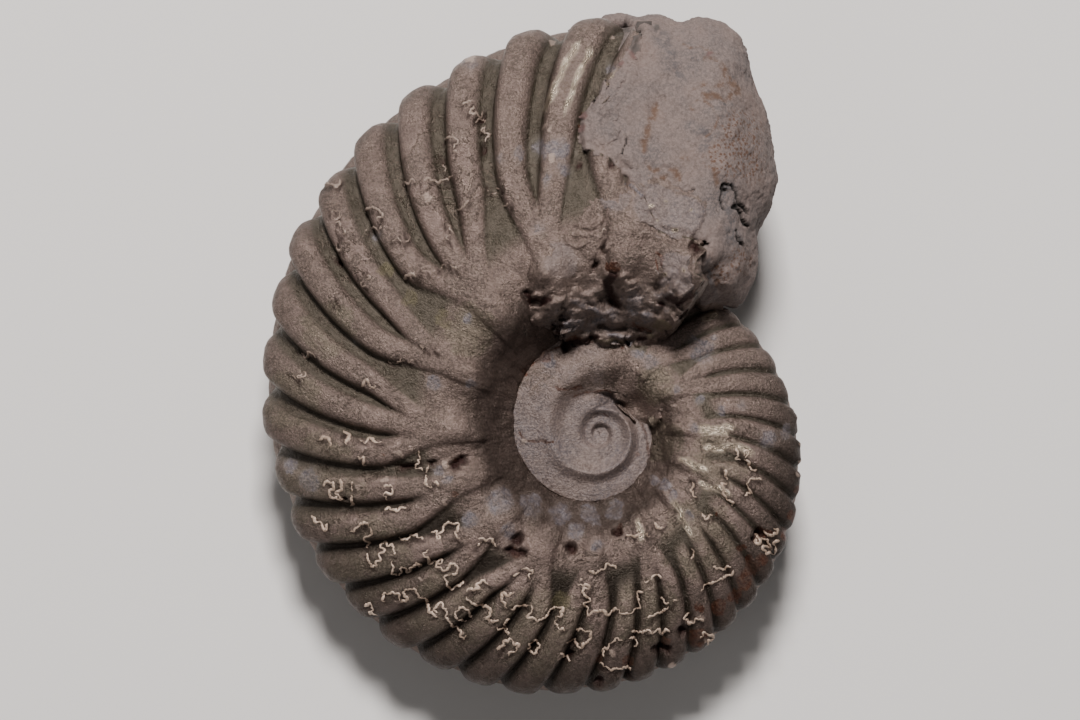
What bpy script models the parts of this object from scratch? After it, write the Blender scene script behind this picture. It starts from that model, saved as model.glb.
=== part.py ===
# Fossil ammonite with alternating ribs, a pyrite cast lying on its flank, with the
# plug of pale stone that fills the start of its living chamber.
# Metres, +Z up. The coil is laid out flat, round its own axis, and then tilted to rest.
import math

import bmesh
import bpy
import numpy as np
from mathutils import Matrix, Vector, noise

MM = 0.001

# The coil. A growth angle is in degrees: 0 is towards +X, and it grows clockwise seen from above
TOP_RADIUS = 30.5 * MM
TOP_ANGLE = 270.0
GROWTH_PER_TURN = 2.54
LEAN = 0.018
LEAN_ANGLE = 20.0
CAST_END = 305.0
CAST_START = CAST_END - 360.0
INNER_TURNS = 2

# One side of the whorl's section, from the groove along the venter to the seam in the
# umbilicus, as shares of the coil's radius there: distance from the axis, then half thickness
SECTION = (
    (0.955, 0.000),
    (0.966, 0.042),
    (0.967, 0.086),
    (0.938, 0.134),
    (0.870, 0.184),
    (0.775, 0.228),
    (0.650, 0.266),
    (0.520, 0.289),
    (0.430, 0.292),
    (0.372, 0.270),
    (0.330, 0.214),
    (0.292, 0.155),
)
COVERED_AT = 6
SHOULDER_AT = 8
CLAVUS_AT = 2.4

# Ribs, counted along the venter. Each starts behind its tip and sweeps forward
FIRST_RIB = -38.25
RIB_SPACING = 8.575
RIB_SPACING_GROWTH = 0.00366
COUNTED_AT = 0.6
RIB_SWEEP_POWER = 1.5
RIB_SWEEPS = ((-60.0, 12.0), (60.0, 10.0), (175.0, 9.0), (205.0, 13.5), (235.0, 13.5), (265.0, 10.5))
UNEVEN_RIBS = (
    (-2.0, -0.35),
    (1.0, -0.10),
    (3.5, 0.22),
    (6.5, 0.38),
    (8.5, 0.24),
    (11.5, -0.06),
    (14.0, -0.27),
    (16.0, -0.20),
    (19.0, -0.10),
    (24.0, -0.04),
    (34.0, 0.00),
)
RIB_HEIGHT = 0.027
CLAVUS_HEIGHT = 0.009
BULLA_HEIGHT = 0.030
BULLAE = (-0.9, 1.6, 4.2, 6.8, 9.7, 12.7, 15.6, 18.1, 20.5, 22.8, 25.0, 27.6, 30.2, 32.6, 35.0, 37.4)
RIBS_PER_BULLA = 2.6
JOINED_WITHIN = 1.2

# Mesh of the cast: columns in a turn, rows for each step of the section
COLUMNS = 288
ROWS_PER_STEP = 2
CAST_TRIANGLES = 8000

# The cast's broken front, seen from above, in millimetres from the coil's axis
FRONT_LINE = (
    (0.6, 33.0),
    (0.9, 30.8),
    (2.9, 29.1),
    (1.8, 27.3),
    (1.5, 25.6),
    (0.4, 24.1),
    (-1.1, 23.2),
    (-0.8, 20.7),
    (1.7, 19.5),
    (2.9, 17.8),
    (3.7, 15.9),
    (4.2, 14.7),
    (6.5, 14.2),
    (7.6, 13.3),
    (8.9, 12.6),
    (13.0, 11.0),
)
FRONT_FAR = ((26.0, 14.0), (26.0, 40.0), (1.0, 40.0))
FRONT_DEPTH = 16.0

# The stone plug, seen from above: its outline round the coil's axis, clockwise
PLUG_OUTLINE = (
    (2.2, 30.6),
    (3.7, 31.0),
    (5.3, 30.7),
    (6.0, 30.3),
    (7.3, 30.8),
    (8.9, 30.4),
    (10.2, 29.4),
    (10.9, 28.2),
    (11.1, 26.8),
    (11.6, 25.2),
    (12.3, 23.2),
    (12.8, 21.2),
    (13.1, 18.4),
    (12.7, 16.6),
    (11.8, 15.3),
    (11.5, 14.0),
    (11.5, 12.4),
    (10.9, 10.7),
    (10.2, 9.2),
    (6.5, 9.4),
    (1.5, 12.5),
    (-2.6, 18.0),
    (-4.0, 23.5),
    (-2.0, 28.5),
    (0.0, 30.4),
)
PLUG_CENTRE = (5.6, 21.0)
PLUG_RINGS = 10
PLUG_ROUGHNESS = 0.45 * MM
PLUG_PIT = (10.0, 16.8)
PLUG_PIT_RADIUS = 1.3 * MM
PLUG_PIT_DEPTH = 0.8 * MM

# The plug's half thickness, in millimetres, at distances from the coil's axis
PLUG_SECTION = (
    (8.0, 8.8),
    (13.0, 9.7),
    (17.0, 9.2),
    (21.0, 8.3),
    (25.0, 7.2),
    (29.0, 5.9),
    (32.0, 4.7),
)
GAP = 0.40 * MM

# The rest pose: the upper end of the coil's axis leans this far, towards this compass angle
# from +X. The knobs that it lies on are worn flat this deep
REST_LEAN = 8.0
REST_TOWARDS = 240.0
FOOT_WEAR = 0.30 * MM

CAST_COLOUR = (0.30, 0.26, 0.22)
PLUG_COLOUR = (0.55, 0.49, 0.46)


def smoothstep(value, low, high):
    """0 below low, 1 above high and a smooth rise between them."""
    share = np.clip((value - low) / (high - low), 0.0, 1.0)
    return share * share * (3.0 - 2.0 * share)


def coil_radius(angle):
    """The coil's radius at the venter, at growth angles in degrees."""
    growth = GROWTH_PER_TURN ** ((angle - TOP_ANGLE) / 360.0)
    lean = 1.0 - LEAN * np.cos(np.radians(angle - LEAN_ANGLE))
    return TOP_RADIUS * growth * lean


def section_points(rows_per_step):
    """The section as a smooth curve: one row of (distance, half thickness) per step share."""
    covered = np.array(SECTION[COVERED_AT])
    knots = np.array(SECTION + (tuple(covered / GROWTH_PER_TURN),))
    mirrored = knots[1] * (1.0, -1.0)
    beyond = 2.0 * knots[-1] - knots[-2]
    padded = np.vstack([mirrored, knots, beyond])
    steps = len(knots) - 1
    places = np.linspace(0.0, steps, steps * rows_per_step + 1)
    rows = []
    for place in places:
        first = min(int(place), steps - 1)
        t = place - first
        a, b, c, d = padded[first : first + 4]
        bend = 2 * a - 5 * b + 4 * c - d
        twist = 3 * b - a - 3 * c + d
        rows.append(0.5 * (2 * b + (c - a) * t + bend * t * t + twist * t**3))
    return places, np.array(rows)


def section_normals(points):
    """Unit normals of the section, pointing out of the whorl."""
    along = np.gradient(points, axis=0)
    across = np.stack([-along[:, 1], along[:, 0]], axis=1)
    across *= -1.0
    return across / np.linalg.norm(across, axis=1)[:, None]


def flank_share(points, places):
    """0 at the umbilical shoulder, 1 at the clavus, measured along the section."""
    length = np.concatenate([[0.0], np.cumsum(np.linalg.norm(np.diff(points, axis=0), axis=1))])
    shoulder = np.interp(SHOULDER_AT, places, length)
    clavus = np.interp(CLAVUS_AT, places, length)
    return np.clip((shoulder - length) / (shoulder - clavus), 0.0, None)


def sweep(angle, share):
    """How far a rib has swept forward at a place on the flank, in degrees."""
    angles, sweeps = zip(*RIB_SWEEPS)
    return np.interp(angle, angles, sweeps) * share**RIB_SWEEP_POWER


def rib_number(angle, share):
    """The rib count at a growth angle and a place on the flank: whole numbers are crests."""
    counted = angle - sweep(angle, share) + sweep(angle, COUNTED_AT)
    grown = RIB_SPACING_GROWTH * (counted - FIRST_RIB) / RIB_SPACING
    number = np.log(np.maximum(1.0 + grown, 0.05)) / RIB_SPACING_GROWTH
    counts, offsets = zip(*UNEVEN_RIBS)
    return number - np.interp(number, counts, offsets)


def nearest_bulla(number):
    """The bulla nearest to a rib number; those of the inner turns are evenly spaced."""
    younger = np.arange(BULLAE[0] - 42 * RIBS_PER_BULLA, BULLAE[0] - 1.0, RIBS_PER_BULLA)
    known = np.concatenate([younger, BULLAE])
    after = np.clip(np.searchsorted(known, number), 1, len(known) - 1)
    low = known[after - 1]
    high = known[after]
    return np.where(number - low < high - number, low, high)


def ridge(distance, half_width):
    """A rounded, broad-topped ridge across one rib, 1 on its crest."""
    return 1.0 - smoothstep(np.abs(distance), 0.22 * half_width, half_width)


def rib_relief(angle, place, share, side):
    """How far ribs, clavi and bullae stand out, as a share of the coil's radius."""
    number = rib_number(angle, share) + (0.5 if side < 0 else 0.0)
    rooting = 1.0 - smoothstep(share, 0.02, 0.46)
    height = RIB_HEIGHT * (0.35 + 0.65 * smoothstep(share, 0.05, 0.6))
    height = height * smoothstep(place, 0.0, 1.9)
    height = height + CLAVUS_HEIGHT * np.exp(-(((place - CLAVUS_AT) / 0.9) ** 2))
    off_wall = 1.0 - smoothstep(place, 9.0, 10.6)
    relief = np.zeros(np.broadcast(angle, place).shape)
    nearest = np.round(number)
    for step in (-1, 0, 1):
        rib = nearest + step
        bulla = nearest_bulla(rib)
        joined = np.abs(rib - bulla) < JOINED_WITHIN
        crest = rib + np.where(joined, (bulla - rib) * 0.8 * rooting, 0.0)
        kept = np.where(joined, 1.0, smoothstep(share, 0.16, 0.42))
        vigour = 1.0 + 0.10 * np.sin(rib * 2.399)
        relief = np.maximum(relief, kept * vigour * height * ridge(number - crest, 0.47))
    bulla = nearest_bulla(number)
    swell = np.exp(-(((number - bulla) / 0.62) ** 2)) * np.exp(-(((place - 8.2) / 1.1) ** 2))
    young = 0.25 + 0.75 * smoothstep(angle, CAST_START - 40.0, CAST_START)
    return (relief * off_wall + BULLA_HEIGHT * swell) * young


class Whorl:
    """The coiled surface, given a number of rows for each step of its section."""

    def __init__(self, rows_per_step, swell=0.0):
        self.places, self.points = section_points(rows_per_step)
        self.normals = section_normals(self.points)
        self.share = flank_share(self.points, self.places)
        self.covered = COVERED_AT * rows_per_step
        self.seam = len(self.places) - 1
        self.swell = swell

    def angles(self, column, columns):
        """Growth angles of one column's rows: in the last turn they lean with the ribs."""
        base = CAST_START + 360.0 * column / columns
        leaning = smoothstep(base, CAST_START, CAST_START + 40.0)
        return base + leaning * sweep(base, self.share)

    def column(self, column, columns, side):
        """Points of one column on one side (+1 above, -1 below), venter first."""
        angle = self.angles(column, columns)
        radius = coil_radius(angle)
        out = rib_relief(angle, self.places, self.share, side) + self.swell / radius
        across = (self.points[:, 0] + self.normals[:, 0] * out) * radius
        rise = (self.points[:, 1] + self.normals[:, 1] * out) * radius * side
        turn = np.radians(-angle)
        return np.stack([across * np.cos(turn), across * np.sin(turn), rise], axis=1)


def zip_edges(first, second):
    """Triangles between two chains of vertices that share both their ends."""
    faces = []
    i = j = 0
    while i < len(first) - 1 or j < len(second) - 1:
        ahead = (i + 1) / (len(first) - 1)
        behind = (j + 1) / (len(second) - 1)
        if j == len(second) - 1 or (i < len(first) - 1 and ahead <= behind):
            face = (first[i], first[i + 1], second[j])
            i += 1
        else:
            face = (first[i], second[j + 1], second[j])
            j += 1
        if len(set(face)) == 3:
            faces.append(face)
    return faces


def coil_mesh(whorl, columns, extra=0):
    """The whole coil as one closed mesh: its last turn, and its inner turns in the umbilicus.

    Extra columns carry the last turn further on over the turn before it.
    """
    vertices = []
    index = {}

    def place_column(column):
        for side in (1, -1):
            points = whorl.column(column, columns, side)
            first = 0 if column >= extra else whorl.covered
            for row in range(first, whorl.seam + 1):
                key = (column, row, side if row else 0)
                if row == whorl.seam and column - columns >= -INNER_TURNS * columns:
                    index[key] = index[(column - columns, whorl.covered, side)]
                elif key not in index:
                    index[key] = len(vertices)
                    vertices.append(tuple(points[row]))

    for column in range(-INNER_TURNS * columns, columns + extra + 1):
        place_column(column)

    faces = []
    for side in (1, -1):
        for column in range(-INNER_TURNS * columns, columns + extra):
            first = 0 if column >= extra else whorl.covered
            for row in range(first, whorl.seam):
                corners = [(column, row), (column + 1, row), (column + 1, row + 1), (column, row + 1)]
                faces.append([index[(c, r, side if r else 0)] for c, r in corners])

    def chain(column, last_row):
        below = [index[(column, row, -1)] for row in range(last_row, 0, -1)]
        above = [index[(column, row, 1)] for row in range(1, last_row + 1)]
        return below + [index[(column, 0, 0)]] + above

    faces += zip_edges(chain(columns + extra, whorl.seam), chain(extra, whorl.covered))

    innermost = -INNER_TURNS * columns
    for side in (1, -1):
        rim = [index[(innermost + step, whorl.seam, side)] for step in range(columns)]
        rim += [index[(innermost, row, side)] for row in range(whorl.covered, whorl.seam)]
        height = sum(vertices[v][2] for v in rim) / len(rim)
        pole = len(vertices)
        vertices.append((0.0, 0.0, height * 1.15))
        for here, there in zip(rim, rim[1:] + rim[:1]):
            faces.append([here, there, pole])
    return vertices, faces


def closed_object(name, vertices, faces, material):
    """An object from vertices and faces, with its faces turned to point out."""
    mesh = bpy.data.meshes.new(name)
    mesh.from_pydata(vertices, [], faces)
    work = bmesh.new()
    work.from_mesh(mesh)
    bmesh.ops.recalc_face_normals(work, faces=work.faces)
    work.to_mesh(mesh)
    work.free()
    mesh.materials.append(material)
    made = bpy.data.objects.new(name, mesh)
    bpy.context.scene.collection.objects.link(made)
    return made


def finish_material(name, colour, roughness, metallic):
    """A plain finish: base colour, roughness and metallic value."""
    material = bpy.data.materials.new(name)
    material.use_nodes = True
    shader = material.node_tree.nodes["Principled BSDF"]
    shader.inputs["Base Color"].default_value = (*colour, 1.0)
    shader.inputs["Roughness"].default_value = roughness
    shader.inputs["Metallic"].default_value = metallic
    return material


def make_cutter(name, vertices, faces, material):
    """A closed object that only cuts others."""
    cutter = closed_object(name, vertices, faces, material)
    cutter.hide_render = True
    cutter.display_type = "WIRE"
    return cutter


def cut_away(made, cutter):
    """Take one object's room out of another."""
    cut = made.modifiers.new(cutter.name, "BOOLEAN")
    cut.object = cutter
    cut.operation = "DIFFERENCE"
    cut.solver = "EXACT"


def make_front_cutter(name, distance, material):
    """A prism in front of the cast's broken edge, moved away from the cast by a distance."""
    line = [Vector(point) for point in FRONT_LINE]
    moved = []
    for before, point, after in zip(line[:1] + line, line, line[1:] + line[-1:]):
        along = (after - before).normalized()
        moved.append(point + Vector((-along.y, along.x)) * distance / MM)
    outline = [tuple(point) for point in moved] + list(FRONT_FAR)
    count = len(outline)
    vertices = [(x * MM, y * MM, z * MM) for z in (-FRONT_DEPTH, FRONT_DEPTH) for x, y in outline]
    faces = [list(range(count)), list(range(count, 2 * count))]
    faces += [[i, (i + 1) % count, count + (i + 1) % count, count + i] for i in range(count)]
    return make_cutter(name, vertices, faces, material)


def make_cast():
    """The ribbed pyrite cast of the chambers."""
    material = finish_material("pyrite", CAST_COLOUR, 0.45, 0.6)
    vertices, faces = coil_mesh(Whorl(ROWS_PER_STEP), COLUMNS)
    cast = closed_object("ammonite_cast", vertices, faces, material)
    cut_away(cast, make_front_cutter("front_break", 0.0, material))
    fewer = cast.modifiers.new("fewer", "DECIMATE")
    triangles = sum(len(face.vertices) - 2 for face in cast.data.polygons)
    fewer.ratio = CAST_TRIANGLES / triangles
    fewer.use_collapse_triangulate = True
    return cast


def plug_height(x, y):
    """Half thickness of the stone at a place seen from above: it keeps the whorl's section."""
    distance = math.hypot(x, y) / MM
    distances, heights = zip(*PLUG_SECTION)
    broken_front = float(smoothstep(x, 8.0 * MM, 13.5 * MM))
    return float(np.interp(distance, distances, heights)) * (1.0 - 0.25 * broken_front) * MM


def plug_point(ring, corner, side):
    """A point of the plug: ring 0 is its outline, the last ring is near its middle."""
    share = 1.0 - (ring / PLUG_RINGS) ** 1.6
    outline = Vector(PLUG_OUTLINE[corner]) * MM
    centre = Vector(PLUG_CENTRE) * MM
    flat = centre + (outline - centre) * share
    height = plug_height(flat.x, flat.y) * (1.0 - share**5) ** 0.5
    point = Vector((flat.x, flat.y, height * side))
    rough = noise.fractal(point / (3.5 * MM), 0.9, 2.0, 4) * PLUG_ROUGHNESS
    pit = (flat - Vector(PLUG_PIT) * MM).length / (PLUG_PIT_RADIUS)
    sunk = PLUG_PIT_DEPTH * math.exp(-pit * pit) * (side > 0)
    return point + Vector((0.0, 0.0, side * rough * (ring > 0) - sunk))


def make_plug():
    """The pale stone in the living chamber, cut back from the cast that it fills."""
    material = finish_material("matrix_stone", PLUG_COLOUR, 0.9, 0.0)
    corners = len(PLUG_OUTLINE)
    vertices = [plug_point(0, corner, 1) for corner in range(corners)]
    faces = []
    for side in (1, -1):
        rings = [list(range(corners))]
        for ring in range(1, PLUG_RINGS):
            start = len(vertices)
            vertices += [plug_point(ring, corner, side) for corner in range(corners)]
            rings.append(list(range(start, start + corners)))
        for outer, inner in zip(rings, rings[1:]):
            for here in range(corners):
                there = (here + 1) % corners
                faces.append([outer[here], outer[there], inner[there], inner[here]])
        pole = len(vertices)
        vertices.append(plug_point(PLUG_RINGS, 0, side))
        for here in range(corners):
            faces.append([rings[-1][here], rings[-1][(here + 1) % corners], pole])
    plug = closed_object("matrix_plug", [tuple(v) for v in vertices], faces, material)

    vertices, faces = coil_mesh(Whorl(ROWS_PER_STEP, swell=GAP), COLUMNS // 2, extra=1)
    room = make_cutter("cast_room", vertices, faces, material)
    cut_away(room, make_front_cutter("front_gap", GAP, material))
    cut_away(plug, room)
    return plug


def bake(made):
    """Replace an object's mesh by the one that its modifiers give."""
    graph = bpy.context.evaluated_depsgraph_get()
    mesh = bpy.data.meshes.new_from_object(made.evaluated_get(graph))
    mesh.shade_smooth()
    made.modifiers.clear()
    made.data = mesh


def wear_foot(made, height):
    """Cut an object off flat below a height, and close it again."""
    work = bmesh.new()
    work.from_mesh(made.data)
    parts = list(work.verts) + list(work.edges) + list(work.faces)
    plane = (0.0, 0.0, height)
    down = (0.0, 0.0, -1.0)
    cut = bmesh.ops.bisect_plane(work, geom=parts, plane_co=plane, plane_no=down, clear_outer=True)
    rims = [part for part in cut["geom_cut"] if isinstance(part, bmesh.types.BMEdge)]
    bmesh.ops.holes_fill(work, edges=rims, sides=0)
    bmesh.ops.triangulate(work, faces=work.faces)
    work.to_mesh(made.data)
    work.free()


def settle(objects):
    """Lean the coil over until it rests, with its foot at height 0 and its middle on the axis."""
    towards = math.radians(REST_TOWARDS)
    hinge = Vector((-math.sin(towards), math.cos(towards), 0.0))
    for made in objects:
        made.data.transform(Matrix.Rotation(math.radians(REST_LEAN), 4, hinge))
    foot = min(v.co.z for made in objects for v in made.data.vertices) + FOOT_WEAR
    for made in objects:
        wear_foot(made, foot)
    points = [v.co for made in objects for v in made.data.vertices]
    middle = [0.5 * (min(p[axis] for p in points) + max(p[axis] for p in points)) for axis in (0, 1)]
    for made in objects:
        made.data.transform(Matrix.Translation((-middle[0], -middle[1], -foot)))


def main():
    for old in list(bpy.data.objects):
        bpy.data.objects.remove(old)
    cast = make_cast()
    plug = make_plug()
    bake(cast)
    bake(plug)
    for cutter in ("cast_room", "front_gap", "front_break"):
        bpy.data.objects.remove(bpy.data.objects[cutter])
    settle([cast, plug])


main()
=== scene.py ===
# A fossil ammonite with alternating ribs: the shell's chambers cast in pyrite, about 50 mm long,
# lying on its flank, with pale stone still in the start of its living chamber.
# Metres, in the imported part's frame.
import math

import bpy
import numpy as np
from mathutils import Matrix, Vector, noise
from mathutils.bvhtree import BVHTree


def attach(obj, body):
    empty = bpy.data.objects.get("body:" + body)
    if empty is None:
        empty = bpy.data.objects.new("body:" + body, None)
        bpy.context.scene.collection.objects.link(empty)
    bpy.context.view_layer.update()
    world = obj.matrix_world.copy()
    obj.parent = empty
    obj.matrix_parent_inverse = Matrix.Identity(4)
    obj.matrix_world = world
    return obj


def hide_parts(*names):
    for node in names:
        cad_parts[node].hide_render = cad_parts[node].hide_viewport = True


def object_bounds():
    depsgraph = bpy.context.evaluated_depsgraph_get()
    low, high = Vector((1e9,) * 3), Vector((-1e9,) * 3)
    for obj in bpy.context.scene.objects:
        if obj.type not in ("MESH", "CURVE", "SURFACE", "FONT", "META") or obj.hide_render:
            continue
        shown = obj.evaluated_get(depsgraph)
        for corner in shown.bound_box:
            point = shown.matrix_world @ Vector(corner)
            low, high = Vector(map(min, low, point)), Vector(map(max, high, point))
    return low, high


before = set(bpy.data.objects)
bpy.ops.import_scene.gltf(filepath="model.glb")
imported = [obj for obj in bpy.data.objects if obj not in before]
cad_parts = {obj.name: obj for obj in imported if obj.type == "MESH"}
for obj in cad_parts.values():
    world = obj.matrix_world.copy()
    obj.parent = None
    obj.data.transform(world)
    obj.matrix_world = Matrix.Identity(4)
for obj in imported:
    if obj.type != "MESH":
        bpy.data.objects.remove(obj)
cad_low, cad_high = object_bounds()

# The place it lies in: a plain pale floor, one soft lamp beyond the top of the picture as the
# fossil was lit, and a camera that looks down the coil's own axis, which leans from upright.
MM = 0.001
PIXEL = 0.073 * MM
AXIS_SEEN = (600.0, 434.0)
PICTURE_MIDDLE = (540.0, 360.0)
LEAN_TOWARDS = math.radians(240.0)
LEAN = math.radians(8.0)
HINGE = Vector((-math.sin(LEAN_TOWARDS), math.cos(LEAN_TOWARDS), 0.0))
COIL_CENTRE = Vector((4.921 * MM, -5.759 * MM, 8.483 * MM))
COIL = Matrix.Translation(COIL_CENTRE) @ Matrix.Rotation(LEAN, 4, HINGE)
PICTURE_WIDTH = 1080
LAMP_COLOUR = (1.0, 0.95, 0.92)
SKY_COLOUR = (1.0, 0.98, 0.97, 1.0)
SKY_STRENGTH = 0.10
LENS = 180.0
SENSOR_WIDTH = 36.0
SHARP_PLANE = 4.0 * MM

bpy.ops.object.select_all(action="DESELECT")
bpy.ops.mesh.primitive_plane_add(size=1.6)
floor = bpy.context.object
floor.name = "pale_floor"
floor_finish = bpy.data.materials.new("pale_floor")
floor_finish.use_nodes = True
floor_shader = floor_finish.node_tree.nodes["Principled BSDF"]
floor_shader.inputs["Base Color"].default_value = (0.72, 0.71, 0.70, 1.0)
floor_shader.inputs["Roughness"].default_value = 0.85
floor.data.materials.append(floor_finish)


def add_lamp(name, azimuth, elevation, distance, size, power):
    """A square soft lamp that looks at the fossil, turned round the coil's own axis."""
    across = math.radians(azimuth)
    up = math.radians(elevation)
    place = Vector((math.cos(up) * math.cos(across), math.cos(up) * math.sin(across), math.sin(up)))
    place = COIL @ (place * distance)
    bpy.ops.object.light_add(type="AREA", location=place)
    lamp = bpy.context.object
    lamp.name = name
    lamp.data.shape = "SQUARE"
    lamp.data.size = size
    lamp.data.energy = power
    lamp.data.color = LAMP_COLOUR
    lamp.rotation_euler = (COIL.translation - place).to_track_quat("-Z", "Y").to_euler()
    return lamp


add_lamp("key_lamp", azimuth=90.0, elevation=55.0, distance=0.50, size=0.10, power=4.3)
add_lamp("fill_lamp", azimuth=222.0, elevation=44.0, distance=0.60, size=0.40, power=0.5)
world = bpy.data.worlds.new("studio")
world.use_nodes = True
sky = world.node_tree.nodes["Background"]
sky.inputs["Color"].default_value = SKY_COLOUR
sky.inputs["Strength"].default_value = SKY_STRENGTH
bpy.context.scene.world = world

bpy.ops.object.camera_add()
camera = bpy.context.object
camera.data.lens = LENS
camera.data.sensor_width = SENSOR_WIDTH
camera.data.clip_start = 0.01
aside = (PICTURE_MIDDLE[0] - AXIS_SEEN[0]) * PIXEL
ahead = (AXIS_SEEN[1] - PICTURE_MIDDLE[1]) * PIXEL
away = SHARP_PLANE + PICTURE_WIDTH * PIXEL * LENS / SENSOR_WIDTH
camera.matrix_world = COIL @ Matrix.Translation((aside, ahead, away))
bpy.context.scene.camera = camera

# The last turn: the coiled tube of the shell's chambers, filled with pyrite, with ribs that start
# at knobs round the navel and sweep forward to the outer edge. It grew and was cast as one piece,
# the shell is gone, and its front is broken off where the stone begins.
TOP_RADIUS = 30.5 * MM
GROWTH_PER_TURN = 2.54
CAST_START = -55.0
TUBE_START = -57.5
TUBE_END = 305.0
SECTION = (
    (0.940, 0.000),
    (0.954, 0.042),
    (0.962, 0.086),
    (0.938, 0.134),
    (0.870, 0.184),
    (0.775, 0.228),
    (0.650, 0.266),
    (0.520, 0.289),
    (0.430, 0.292),
    (0.372, 0.270),
    (0.330, 0.214),
    (0.292, 0.155),
    (0.256, 0.105),
)
SHOULDER_AT = 8.0
CLAVUS_AT = 2.4
FIRST_CREST_AT = -38.25
FIRST_CREST_GAP = 8.575
CREST_CROWDING = 0.00366
RIB_SWEEPS = ((-60.0, 12.0), (60.0, 10.0), (175.0, 9.0), (205.0, 13.5), (235.0, 13.5), (265.0, 10.5))
UNEVEN_RIBS = (
    (-2.0, -0.35),
    (1.0, -0.10),
    (3.5, 0.22),
    (6.5, 0.38),
    (8.5, 0.24),
    (11.5, -0.06),
    (14.0, -0.27),
    (16.0, -0.20),
    (19.0, -0.10),
    (24.0, -0.04),
    (34.0, 0.00),
)
RIB_HEIGHT = 0.0235
CLAVUS_HEIGHT = 0.013
KNOB_HEIGHT = 0.022
GROOVE_DEPTH = 0.010
FURROW_DEPTH = 0.005
LOWER_RIB_SHARE = 0.72
STEEP_BEHIND = 4.2
EASY_IN_FRONT = 3.0
RIB_BREADTHS = ((-55.0, 0.45), (60.0, 0.45), (100.0, 0.46), (150.0, 0.44), (200.0, 0.38), (305.0, 0.37))
RIB_VIGOUR = ((-55.0, 0.55), (10.0, 0.62), (60.0, 0.85), (110.0, 1.0), (305.0, 1.0))
# Painted shade in the grooves, by growth angle: how dark they are painted, darkest on the lower left.
GROOVE_SHADE = ((-55.0, 0.10), (40.0, 0.25), (80.0, 0.85), (150.0, 0.90), (180.0, 0.22), (305.0, 0.15))
# Painted shade, by growth angle: the outer flank darkened on the right, the bottom and the lower left, where
# the light falls off.
OUTER_FALLOFF_SHADE = (
    (-50.0, 0.0),
    (-20.0, 0.42),
    (5.0, 0.92),
    (40.0, 0.88),
    (60.0, 0.82),
    (130.0, 0.88),
    (160.0, 0.60),
    (195.0, 0.22),
    (230.0, 0.14),
    (305.0, 0.0),
)
# Painted shade, by growth angle: the inner wall by the seam is darkened, most at the bottom and the top.
INNER_WALL_SHADE = ((-55.0, 0.35), (30.0, 0.35), (70.0, 0.62), (150.0, 0.60), (200.0, 0.30), (305.0, 0.55))
KNOBS = (-0.9, 1.6, 4.2, 6.8, 9.7, 12.7, 15.6, 18.1, 20.5, 22.8, 25.0, 27.6, 30.2, 32.6, 35.0, 37.4)
TURN_COLUMNS = 760
HEART_AT = 0.62
UPPER_ROWS = ((0, 0.0), (9, 1.2), (62, 7.6), (74, 9.6), (84, 12.0))
LOWER_ROWS = 36


def smooth_rise(value, low, high):
    """0 below low, 1 above high and a smooth rise between them."""
    share = np.clip((value - low) / (high - low), 0.0, 1.0)
    return share * share * (3.0 - 2.0 * share)


def coil_radius(angle):
    """The coil's radius at the outer edge, at growth angles in degrees, clockwise from +X."""
    growth = GROWTH_PER_TURN ** ((angle - 270.0) / 360.0)
    return TOP_RADIUS * growth * (1.0 - 0.018 * np.cos(np.radians(angle - 20.0)))


def section(place):
    """Distance from the axis and half thickness at places 0 to 12, from outer edge to seam."""
    knots = np.array(SECTION)
    padded = np.vstack([knots[1] * (1.0, -1.0), knots, 2.0 * knots[-1] - knots[-2]])
    first = np.clip(np.floor(place).astype(int), 0, len(knots) - 2)
    t = (place - first)[:, None]
    a, b, c, d = (padded[first + step] for step in range(4))
    bend = 2 * a - 5 * b + 4 * c - d
    return 0.5 * (2 * b + (c - a) * t + bend * t * t + (3 * b - a - 3 * c + d) * t**3)


TABLE_PLACES = np.linspace(0.0, len(SECTION) - 1.0, 601)
TABLE_POINTS = section(TABLE_PLACES)
TABLE_ALONG = np.gradient(TABLE_POINTS, axis=0)
TABLE_STEPS = np.linalg.norm(np.diff(TABLE_POINTS, axis=0), axis=1)
TABLE_LENGTHS = np.concatenate([[0.0], np.cumsum(TABLE_STEPS)])


def flank_share(place):
    """0 at the navel's shoulder, 1 at the outer row of knobs, measured along the section."""
    length = np.interp(place, TABLE_PLACES, TABLE_LENGTHS)
    shoulder = np.interp(SHOULDER_AT, TABLE_PLACES, TABLE_LENGTHS)
    clavus = np.interp(CLAVUS_AT, TABLE_PLACES, TABLE_LENGTHS)
    return np.clip((shoulder - length) / (shoulder - clavus), 0.0, None)


def sweep(angle, share):
    """How far a rib has swept forward at a place on the flank, in degrees."""
    angles, sweeps = zip(*RIB_SWEEPS)
    return np.interp(angle, angles, sweeps) * share**1.5


def rib_number(angle, share):
    """The rib count at a growth angle and a place on the flank: whole numbers are crests."""
    counted = angle - sweep(angle, share) + sweep(angle, 0.6)
    grown = CREST_CROWDING * (counted - FIRST_CREST_AT) / FIRST_CREST_GAP
    number = np.log(np.maximum(1.0 + grown, 0.05)) / CREST_CROWDING
    counts, offsets = zip(*UNEVEN_RIBS)
    return number - np.interp(number, counts, offsets)


def nearest_knob(number):
    """The navel knob nearest to a rib number; those of the inner turns are evenly spaced."""
    known = np.concatenate([np.arange(KNOBS[0] - 109.2, KNOBS[0] - 1.0, 2.6), KNOBS])
    after = np.clip(np.searchsorted(known, number), 1, len(known) - 1)
    low = known[after - 1]
    high = known[after]
    return np.where(number - low < high - number, low, high)


def rib_profile(offset, breadth):
    """Across one rib, 1 on its rounded top: steep behind it, with an easier slope in front."""
    far = np.where(offset < 0.0, -offset / (0.88 * breadth), offset / (1.18 * breadth))
    return 1.0 - np.minimum(far, 1.0) ** np.where(offset < 0.0, STEEP_BEHIND, EASY_IN_FRONT)


def rib_foot(offset, breadth):
    """The narrow furrow at the foot of a rib's steep side, 1 along its middle."""
    return np.exp(-(((offset + 0.96 * breadth) / 0.06) ** 2))


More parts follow.
